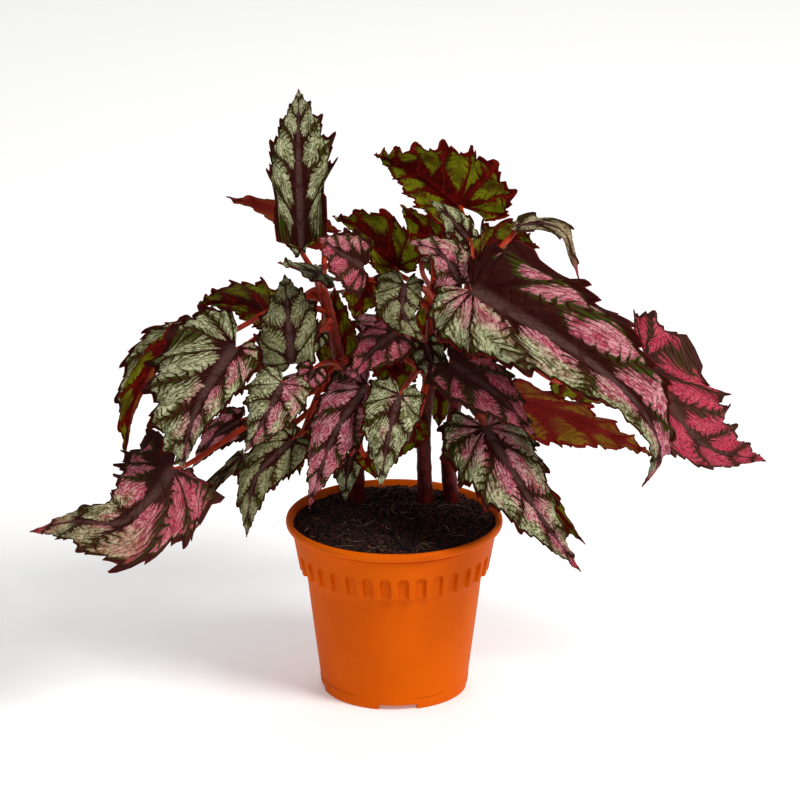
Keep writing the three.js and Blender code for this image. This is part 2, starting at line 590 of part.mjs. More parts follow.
function makeSoil(caneHoles) {
  const bottom = FLOOR_TOP + FIT_GAP;
  const edge = soilRadius(SOIL_EDGE);
  const profile = [
    [0, bottom], [soilRadius(bottom), bottom], [soilRadius(COLLAR_BOTTOM), COLLAR_BOTTOM],
    [soilRadius(COLLAR_TOP), COLLAR_TOP], [edge, SOIL_EDGE], [edge * 0.8, SOIL_EDGE],
    [edge * 0.52, SOIL_EDGE], [edge * 0.25, SOIL_EDGE], [0, SOIL_EDGE],
  ];
  const geometry = latheAroundZ(profile, WALL_SEGMENTS);
  const place = geometry.attributes.position;
  for (let i = 0; i < place.count; i += 1) {
    const radius = Math.hypot(place.getX(i), place.getY(i));
    if (place.getZ(i) === SOIL_EDGE && radius < edge * 0.95) {
      place.setZ(i, soilHeight(place.getX(i), place.getY(i)));
    }
  }
  let soil = solidFromGeometry(geometry);
  for (const hole of caneHoles) {
    soil = soil.subtract(hole);
  }
  return geometryFrom(soil);
}

// ---------------------------------------------------------------- leaf blades

// Place on a leaf's midrib, from 0 at the stalk to 1 at the tip, on a smooth curve through its rib places.
function ribPlace(rib, along) {
  const knots = [0];
  for (let i = 1; i < rib.length; i += 1) {
    knots.push(knots[i - 1] + rib[i].distanceTo(rib[i - 1]));
  }
  const length = knots[knots.length - 1];
  const target = Math.min(1, Math.max(0, along)) * length;
  let i = 0;
  while (i < rib.length - 2 && target > knots[i + 1]) {
    i += 1;
  }
  const slope = (k) => {
    const before = Math.max(k - 1, 0);
    const after = Math.min(k + 1, rib.length - 1);
    return rib[after].clone().sub(rib[before]).divideScalar(knots[after] - knots[before]);
  };
  const span = knots[i + 1] - knots[i];
  const t = (target - knots[i]) / span;
  const place = rib[i].clone().multiplyScalar(2 * t ** 3 - 3 * t ** 2 + 1);
  place.addScaledVector(rib[i + 1], 3 * t ** 2 - 2 * t ** 3);
  place.addScaledVector(slope(i), span * (t ** 3 - 2 * t ** 2 + t));
  place.addScaledVector(slope(i + 1), span * (t ** 3 - t ** 2));
  return place;
}

function ribLength(rib) {
  let length = 0;
  for (let i = 1; i < rib.length; i += 1) {
    length += rib[i].distanceTo(rib[i - 1]);
  }
  return length;
}

// Directions at a midrib place: ahead to the tip, out to the right half, and out of the upper side.
function ribFrame(leaf, along) {
  const s = Math.min(1, Math.max(0, along));
  const behind = ribPlace(leaf.rib, Math.max(0, s - 0.02));
  const ahead = ribPlace(leaf.rib, Math.min(1, s + 0.02)).sub(behind).normalize();
  const face = leaf.face[0].clone().lerp(leaf.face[1], s);
  const right = ahead.clone().cross(face).normalize();
  const up = right.clone().cross(ahead);
  return { ahead, right, up };
}

// Outline of half a blade at 0 (stalk) to 1 (tip), on a smooth curve through BLADE_OUTLINE.
function outlinePlace(part) {
  const last = BLADE_OUTLINE.length - 1;
  const place = Math.min(last - 1e-9, Math.max(0, part * last));
  const i = Math.floor(place);
  const t = place - i;
  const corner = (k) => BLADE_OUTLINE[Math.min(last, Math.max(0, k))];
  return [0, 1].map((axis) => {
    const [a, b, c, d] = [corner(i - 1)[axis], corner(i)[axis], corner(i + 1)[axis], corner(i + 2)[axis]];
    return b + 0.5 * t * (c - a + t * (2 * a - 5 * b + 4 * c - d + t * (3 * (b - c) + d - a)));
  });
}

// A place on a blade. side is -1 (left) or 1 (right), vein runs from 0 at the stalk's notch to 1 at the tip,
// and out runs from 0 on the midrib to 1 on the margin.
function bladePlace(leaf, side, vein, out) {
  const which = side < 0 ? 0 : 1;
  const length = leaf.length;
  const half = leaf.half[which];
  const [edgeAcross, plainAlong] = outlinePlace(vein);
  const shifted = (forward) => (plainAlong > 0 ? plainAlong ** (1 / (1 + forward)) : plainAlong);
  const edgeAlong = shifted(leaf.forward[which]);
  const meanAlong = shifted((leaf.forward[0] + leaf.forward[1]) / 2);
  const start = Math.max(0, meanAlong - VEIN_SLANT * edgeAcross);
  const narrowed = 1 - 0.8 * smoothStep(0.2, 1.4, leaf.forward[which]) * smoothStep(0.5, 0.1, vein);
  const untilTip = Math.min(1, 5 * (1 - vein));
  const teeth = -Math.cos(2 * Math.PI * leaf.teeth * vein) * untilTip;
  const reach = out * (1 + TOOTH_REACH * teeth * out * out);
  const across = edgeAcross * half * reach * narrowed;
  const behind = edgeAlong < 0 ? edgeAlong * leaf.lobe[which] / length : edgeAlong;
  const along = start + (behind - start) * reach;
  const frame = ribFrame(leaf, along);
  const place = ribPlace(leaf.rib, along);
  if (along < 0) {
    place.addScaledVector(frame.ahead, along * length);
  }
  const lift = THREE.MathUtils.degToRad(leaf.fold);
  const droop = THREE.MathUtils.degToRad(leaf.bend[which]) / half;
  const turned = lift - droop * across;
  const sideways = (Math.sin(lift) - Math.sin(turned)) / droop;
  const upward = (Math.cos(turned) - Math.cos(lift)) / droop;
  const wave = 1.2 * Math.sin(2 * Math.PI * (1.6 * vein + leaf.phase)) * untilTip;
  const ripple = out * out * half * MARGIN_RIPPLE * (teeth + wave);
  place.addScaledVector(frame.right, side * sideways);
  place.addScaledVector(frame.up, upward * smoothStep(0, STALK_FLAT * 2, across) + ripple);
  return place;
}

// The blade's middle sheet: its places, each held once, and its triangles.
function bladeSheet(leaf) {
  const { rows, steps } = BLADE_MESH[leaf.size];
  const places = [];
  const known = new Map();
  const corner = (side, row, step) => {
    const place = bladePlace(leaf, side, row / (rows - 1), step / steps);
    const key = [place.x, place.y, place.z].map((value) => value.toFixed(3)).join();
    if (!known.has(key)) {
      known.set(key, places.length);
      places.push(place);
    }
    return known.get(key);
  };
  const faces = [];
  for (const side of [-1, 1]) {
    for (let row = 0; row < rows - 1; row += 1) {
      for (let step = 0; step < steps; step += 1) {
        const near = [corner(side, row, step), corner(side, row, step + 1)];
        const far = [corner(side, row + 1, step), corner(side, row + 1, step + 1)];
        for (const face of [[near[0], near[1], far[1]], [near[0], far[1], far[0]]]) {
          faces.push(side > 0 ? face : face.reverse());
        }
      }
    }
  }
  return { places, faces: faces.filter(([a, b, c]) => a !== b && b !== c && c !== a) };
}

// The mean direction of the faces round each place of a sheet.
function sheetNormals({ places, faces }) {
  const normals = places.map(() => new THREE.Vector3());
  for (const [a, b, c] of faces) {
    const slope = places[b].clone().sub(places[a]).cross(places[c].clone().sub(places[a]));
    for (const corner of [a, b, c]) {
      normals[corner].add(slope);
    }
  }
  return normals.map((normal) => normal.normalize());
}

// A sheet given a thickness, with both faces split alike and its rim closed.
function bladeSolid(leaf, thickness) {
  const sheet = bladeSheet(leaf);
  const normals = sheetNormals(sheet);
  const shifted = (amount) => sheet.places.map((p, i) => p.clone().addScaledVector(normals[i], amount));
  const count = sheet.places.length;
  const edges = new Set(sheet.faces.flatMap(([a, b, c]) => [`${a},${b}`, `${b},${c}`, `${c},${a}`]));
  const triangles = [];
  for (const [a, b, c] of sheet.faces) {
    triangles.push(a, b, c, a + count, c + count, b + count);
  }
  for (const edge of edges) {
    const [a, b] = edge.split(',').map(Number);
    if (!edges.has(`${b},${a}`)) {
      triangles.push(b, a, a + count, b, a + count, b + count);
    }
  }
  return solidFrom([...shifted(thickness / 2), ...shifted(-thickness / 2)], triangles);
}

// ---------------------------------------------------------------- canes and stalks

function caneCurve(route) {
  const places = route.map(vector);
  const foot = places[0].clone();
  foot.z -= CANE_DEPTH_IN_SOIL;
  return new THREE.CatmullRomCurve3([foot, ...places], false, 'centripetal');
}

// A stalk leaves its cane along the cane and ends just under the midrib's first place.
function stalkSolid(leaf, curve) {
  const frame = ribFrame(leaf, 0);
  const start = curve.getPointAt(leaf.climb);
  const upward = curve.getTangentAt(leaf.climb);
  const end = leaf.rib[0].clone().addScaledVector(frame.up, -(BLADE_THICKNESS / 2 + STALK_END_GAP));
  const span = end.distanceTo(start);
  const arrival = frame.up.clone().multiplyScalar(0.85).addScaledVector(frame.ahead, 0.5).normalize();
  const leave = start.clone().addScaledVector(upward, span * 0.4);
  const near = end.clone().addScaledVector(arrival, -span * 0.3);
  const path = new THREE.CubicBezierCurve3(start, leave, near, end);
  const places = path.getPoints(Math.min(5, Math.max(3, Math.round(span / STALK_STEP_LENGTH))));
  places[places.length - 1] = end.clone().addScaledVector(frame.up, -STALK_TIP_RADIUS * 0.6);
  places.push(end);
  return taperedTube(places, STALK_FOOT_RADIUS, STALK_TIP_RADIUS, STALK_SIDES);
}

// A stalk that would reach into its own blade is cut clear of it, and what is cut loose is dropped.
function fittedStalk(leaf, curve) {
  const stalk = stalkSolid(leaf, curve);
  if (stalk.intersect(bladeSolid(leaf, BLADE_THICKNESS + LEAST_GAP)).volume() < 0.001) {
    return stalk;
  }
  const pieces = stalk.subtract(bladeSolid(leaf, BLADE_THICKNESS + 2 * STALK_GAP)).decompose();
  return pieces.reduce((largest, piece) => (piece.volume() > largest.volume() ? piece : largest));
}

// A cane with the stalks of its leaves. grow widens it all round, for the hole that it stands in.
function caneSolid(name, leaves, grow) {
  const curve = caneCurve(CANES[name]);
  const places = curve.getPoints(CANE_STEPS);
  let cane = taperedTube(places, CANE_FOOT_RADIUS + grow, CANE_TOP_RADIUS + grow, CANE_SIDES);
  for (const leaf of leaves.filter((one) => one.cane === name)) {
    cane = cane.add(fittedStalk(leaf, curve));
  }
  return cane;
}

// ---------------------------------------------------------------- materials and assembly

function material({ color, roughness }) {
  return new THREE.MeshStandardMaterial({ color, roughness, metalness: 0 });
}

function namedMesh(name, geometry, finish) {
  const mesh = new THREE.Mesh(geometry, finish);
  mesh.name = name;
  return mesh;
}

function preparedLeaf(entry, order) {
  const leaf = { ...entry, rib: entry.rib.map(vector), face: entry.face.map(vector) };
  leaf.length = ribLength(leaf.rib);
  leaf.teeth = (BLADE_MESH[leaf.size].rows - 1) / 2;
  leaf.phase = (order * 0.37) % 1;
  return leaf;
}

function makePlant() {
  const plant = new THREE.Group();
  const leaves = LEAVES.map(preparedLeaf);
  const caneNames = Object.keys(CANES);
  const holes = caneNames.map((name) => caneSolid(name, [], FIT_GAP));
  plant.add(namedMesh('pot', makePot(), material(POT_FINISH)));
  plant.add(namedMesh('soil', makeSoil(holes), material(SOIL_FINISH)));
  for (const name of caneNames) {
    plant.add(namedMesh(`cane_${name}`, geometryFrom(caneSolid(name, leaves, 0)), material(CANE_FINISH)));
  }
  for (const leaf of leaves) {
    const blade = geometryFrom(bladeSolid(leaf, BLADE_THICKNESS));
    plant.add(namedMesh(`leaf_${leaf.name}`, blade, material(BLADE_FINISHES[leaf.tint])));
  }
  return plant;
}

export default makePlant();
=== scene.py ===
"""Potted rex begonia: a fine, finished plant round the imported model.

The scene is in metres. Sizes in this script are millimetres, unless a comment says otherwise.
"""

import math
from collections import namedtuple

import bpy
import numpy as np
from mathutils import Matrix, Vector, noise


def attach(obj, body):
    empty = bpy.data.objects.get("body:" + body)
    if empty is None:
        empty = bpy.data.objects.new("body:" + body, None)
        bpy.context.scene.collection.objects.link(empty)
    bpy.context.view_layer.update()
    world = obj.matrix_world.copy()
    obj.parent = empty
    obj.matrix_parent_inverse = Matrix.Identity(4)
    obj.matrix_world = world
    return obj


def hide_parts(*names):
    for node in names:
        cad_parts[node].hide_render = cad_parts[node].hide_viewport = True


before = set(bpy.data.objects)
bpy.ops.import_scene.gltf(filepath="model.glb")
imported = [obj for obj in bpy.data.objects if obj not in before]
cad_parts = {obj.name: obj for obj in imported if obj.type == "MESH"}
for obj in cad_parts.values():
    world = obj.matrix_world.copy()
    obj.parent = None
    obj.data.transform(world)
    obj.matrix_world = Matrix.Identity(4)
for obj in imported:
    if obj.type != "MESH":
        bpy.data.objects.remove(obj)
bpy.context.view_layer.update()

MM = 0.001

# View
CAMERA_ELEVATION = math.radians(19.44)
CAMERA_DISTANCE = 3500
CAMERA_AIM = (4.2, 0, 223)
CAMERA_LENS = 215.5
SENSOR_WIDTH = 36
CLIP_END_METRES = 100

# Pot
POT_HEIGHT = 132.4
RIM_RADIUS = 80
COLLAR_TOP_RADIUS = 75.5
COLLAR_BOTTOM_RADIUS = 69.8
BODY_TOP_RADIUS = 65
FOOT_RADIUS = 54.3
COLLAR_TOP = 124
COLLAR_BOTTOM = 93
WALL = 2
FLOOR_UNDERSIDE = 4
FLOOR_TOP = 6.5
FOOT_PAD_RADIUS = 16
FOOT_PAD_EDGE = 1
WALL_BOTTOM = 1
WALL_TOP = COLLAR_BOTTOM - 1.5
WALL_RINGS = 14
WALL_RINGS_FROM = 14
ARCH_COUNT = 34
ARCH_WIDTH = 8
ARCH_TOP = 110
ARCH_DEPTH = 2.6
ARCH_EDGE = 0.35
STEPS_PER_ARCH = 24
COLLAR_RINGS = 52
COLLAR_EDGE = 0.2
LIP_ROUND = 0.5
FOOT_NOTCH_COUNT = 4
FOOT_NOTCH_WIDTH = 29
FOOT_NOTCH_HEIGHT = 3.9
FOOT_NOTCH_OFFSET = 3
FOOT_NOTCH_EDGE = 0.3
FOOT_RING_WIDTH = 5
FOOT_LEDGE = 0.4
FOOT_LEDGE_HEIGHTS = (9, 60)
SEAM_HEIGHT = 8.8
RIM_DUST_HEIGHTS = (125, 132)
DRAIN_COUNT = 5
DRAIN_RADIUS = 4
DRAIN_CIRCLE = 31
DRAIN_SIDES = 32
DRAIN_CUT = (-5, 20)
POT_SHARP_ANGLE = math.radians(40)
# The foot ring, as radii outward of the foot and heights. Then rings of the wall over it, close to the seam.
FOOT_RING = ((-4, FLOOR_UNDERSIDE), (-3.6, 0.4), (-3.2, 0), (-0.9, 0), (-0.3, 0.3), (0, WALL_BOTTOM))
FOOT_WALL_HEIGHTS = (FOOT_NOTCH_HEIGHT, 6, 8.6, 9.4)
# The bead of the rim, as radii inward of it and heights under its top.
RIM_BEAD = (
    (4.9, 8.2), (4.4, 7.7), (3.2, 7.2), (1.9, 6.7), (0.9, 6), (0.3, 5), (0, 3.7), (0.1, 2.2), (0.5, 1),
    (1.1, 0.3), (1.8, 0), (2.5, 0.1), (3.1, 0.4),
)
# The inside of the pot's wall, from the floor up to the rim, as radii and heights.
INNER_WALL = np.array([
    (FOOT_RADIUS - WALL, FLOOR_TOP), (BODY_TOP_RADIUS - WALL, COLLAR_BOTTOM),
    (COLLAR_TOP_RADIUS - WALL, COLLAR_TOP), (RIM_RADIUS - 3.4, POT_HEIGHT - 0.6),
])

# Soil. Sizes of crumbs and grit and the least height that they lie at are in metres, and their densities
# are to a square metre.
SOIL_GAP = 0.3
SOIL_EDGE = 128.4
SOIL_MOUND = 2
SOIL_MOUND_CENTRE = (10, 36)
SOIL_MOUND_SPREAD = 38
SOIL_RINGS = 70
SOIL_SPOKES = 200
SOIL_SIDE_HEIGHTS = (30, 60, COLLAR_BOTTOM, 108, COLLAR_TOP)
SOIL_EDGE_DROP = 2
CRUMB_SIZES = (0.0004, 0.0023)
CRUMB_DENSITY = 2.4e5
GRIT_SIZES = (0.0005, 0.0011)
GRIT_DENSITY = 4e3
SOIL_LEAST = 0.1235
SCATTER_SEED = 7
SCATTER_SPIN = 3.1
STREWN_TILT = 1.2
CRUMB_SHAPE = (1.0, 0.8, 0.62)
FIBRE_COUNT = 75
FIBRE_SEED = 11
FIBRE_SPREAD = 70
FIBRE_LIMIT = 72
FIBRE_LENGTHS = (7, 24)
FIBRE_STEPS = 9
FIBRE_BEND = 0.12
FIBRE_LIFT = 0.5
FIBRE_ARCH = (0.4, 1.3)
FIBRE_RADII = (0.2, 0.08)
FIBRE_SIDES = 5

# Stems. Hair lengths are in metres, and hair thickness is a share of the length.
CANE_DEPTH_IN_SOIL = 16
CANE_FOOT_RADIUS = 6
CANE_TOP_RADIUS = 3.6
CANE_SIDES = 28
STALK_SIDES = 14
STALK_FOOT_RADIUS = 2.5
STALK_TIP_RADIUS = 1.75
STALK_STEP = 2.2
STALK_LEAST_STEPS = 10
STALK_RISE = 0.4
STALK_APPROACH = 0.3
STALK_ARRIVAL = (0.85, 0.5)
# How much a stalk swells at its foot and at its tip, and over how far.
STALK_FOOT_SWELL = (0.45, 5)
STALK_TIP_SWELL = (0.2, 4)
# Scars of leaves that have dropped, as shares of a cane's length, and the ring under each stalk that is left.
OLD_SCARS = [0.17, 0.25, 0.33]
SCAR_UNDER_STALK = 0.012
SCAR_SWELL = 0.07
SCAR_HEIGHT = 2.6
CANE_STEP = 1.3
CANE_END_SHARES = (0.86, 0.6, 0.3)
HAIR_LENGTHS = (0.0009, 0.0019)
HAIR_THICKNESS = 0.035
HAIR_DENSITY = 9e4
HAIR_TILT = 0.5
CANE_SAMPLES = 200
CLIMB_STEP = 0.004

# Leaf blades: rows of places along the veins, and columns from the midrib out to the margin.
BLADE_THICKNESS = 0.7
BLADE_VEINS = {"large": 9, "medium": 7, "small": 5}
BLADE_STEPS = {"large": 15, "medium": 12, "small": 10}
ROWS_PER_VEIN = 15
STEP_CROWDING = 1.2
MIDRIB_SHARE = 0.03
WELD_PER_MM = 500
BLADE_SHARP_ANGLE = math.radians(50)
UPPER, UNDERSIDE = 0, 1
# Shape: how steeply the veins leave the midrib, how far a base with leaning veins draws in or rounds off,
# how far from the midrib the blade stays flat, and how soon its teeth and ripples fade at the tip.
VEIN_SLANT = 0.36
BASE_PULL = 0.8
BASE_ROUNDS = {"tall": 0.17}
STALK_FLAT = 4
TIP_TAPER = 5
# Margin, in shares of the half width: pointed lobes between the veins, fine teeth, ripples and frills.
TOOTH_REACH = 0.095
TOOTH_POINT = 0.9
LOBE_DEPTHS = {"tall": (0.8, 1.5), "great": (0.3, 0.9), "crown_edge": (2, 2), "right_edge": (2.4, 2.4)}
FINE_TEETH = 3
FINE_TOOTH = 0.1
MARGIN_RIPPLE = 0.07
MARGIN_WAVE = 1.2
MARGIN_WAVES = 1.6
FRILL = 0.06
FRILLS_PER_VEIN = (0.9, 2.3)
PHASE_STEP = 0.37
# Relief: puffed quilting between the veins, and veins and a midrib that stand out underneath.
QUILT = 0.075
RIDGE = 0.45
RIDGE_WIDTH = 0.07
RIDGE_START = 0.12
MIDRIB_RIDGE = 1.1
MIDRIB_RIDGE_WIDTH = 1.4
MIDRIB_FADE = 0.7
# On a side named here, the underside takes the upper side's finish near the margin, as a margin folded over
# shows. It starts this far out at the stalk, and so much further out at the tip.
FOLDED_SIDES = {"left_arch": -1}
FOLD_START = 0.55
FOLD_END = 0.5
# Pattern: side branches of each vein, their slant, and where a blade's tip turns crimson.
BARBS = 8
BARB_SLANT = 2.5
TIP_WASH = 1.6
TIP_START = 0.86
TIP_STARTS = {"right_edge": 0.55, "low_left": 0.7, "left_thin": 0.7, "front_right": 0.78}
FADING = ("low_left",)
LOOK_BLEND = 0.15
# The outline of a half blade, across in half widths and along in lengths, from behind the stalk to the tip.
BLADE_OUTLINE = np.array([
    (0.18, -0.75), (0.5, -1.0), (0.86, -0.55), (1.0, 0.1), (0.96, 0.26), (0.8, 0.45),
    (0.55, 0.63), (0.31, 0.78), (0.13, 0.89), (0.04, 0.96), (0, 1),
])

# Light. Each light has its place and size in metres, its power in watts and its colour.
FLOOR_SIZE = 14000
FLOOR_COLOUR = (0.93, 0.93, 0.93, 1.0)
FLOOR_COLOUR_AWAY = (0.95, 0.95, 0.95, 1.0)
FLOOR_GLOW = 0.2
WORLD_STRENGTH = 0.35
LIGHT_TARGET = (0, 0, 0.22)
LIGHTS = (
    ("key", (1.9, -1.4, 2.6), 1.4, 99, (1.0, 0.985, 0.95)),
    ("fill", (-2.2, -1.4, 1.5), 1.8, 9, (0.95, 0.97, 1.0)),
    ("back", (0.2, 1.9, 2.2), 1.4, 16, (1.0, 1.0, 1.0)),
)

# Looks of a blade, for both halves or for each: how pink, where below 0 is a dull silver; how dark toward the
# midrib; and how deep a pink its patches are, where above 1 the whole blade turns crimson and below 0 frosty.
TINTS = {
    "silver": (0.3, 0.16, 0.0),
    "pink": (0.85, 0.14, 0.0),
    "plum": (0.9, 0.4, 0.1),
    # Partly painted shade: silver leaves that lie in shadow, such as spotted and near_soil, take this look,
    # with a wider dark zone and no pink.
    "dark": (0.0, 0.4, 0.0),
    "red": (0.3, 0.2, 0.0),
}
LOOKS = {
    "tall": ((0.0, 0.3, -0.3), (0.0, 0.34, -0.15)),
    "left_silver": ((0.5, 0.25, -0.3), (0.25, 0.15, -0.4)),
    "left_arch": ((0.0, 0.1, -0.4), (0.0, 0.1, 0.75)),
    "left_upright": (-0.45, 0.12, 0.0),
    "young_crown": (-0.4, 0.1, 0.0),
    "silver_crown": (0.6, 0.15, -0.4),
    # Partly painted shade: magenta and plum take a wider dark zone and a deeper pink than their own, for the
    # shade in the plant's middle.
    "magenta": (0.95, 0.4, 0.45),
    "plum": (0.95, 0.6, 0.5),
    "front": (0.2, 0.1, 0.0),
    "front_right": ((0.5, 0.0, -0.6), (0.5, 0.1, -0.5)),
    "tall_behind": (0.2, 0.2, 1.0),
    "pink_crown": ((0.95, 0.35, 0.5), (0.7, 0.6, 0.1)),
    "crown_edge": (0.0, 0.1, 0.0),
    "right_edge": (0.0, 0.1, 0.2),
    "great": ((0.75, 0.72, -0.2), (0.46, 0.0, -0.85)),
    "far_right": (1.0, 0.1, 0.95),
    "low_right": (0.4, 0.2, 0.6),
    "low_left": ((0.8, 0.15, 0.5), (0.9, 0.6, 0.3)),
    "left_dull": (-0.5, 0.2, 0.0),
    "left_thin": (-0.4, 0.1, 0.1),
    "left_pink": ((0.55, 0.0, -0.9), (0.2, 0.0, -1.0)),
}

CANES = {
    "left": [(-28, 38, 128), (-28, 34, 166), (-32, 28, 205), (-40, 22, 245), (-48, 17, 285), (-56, 12, 316)],
    "centre": [(23, 35, 128), (22, 34, 184), (25, 30, 224), (27, 26, 264), (28, 22, 294)],
    "right": [(43, 38, 128), (40, 34, 162), (43, 27, 195), (48, 20, 237), (53, 13, 286), (56, 12, 318)],
}

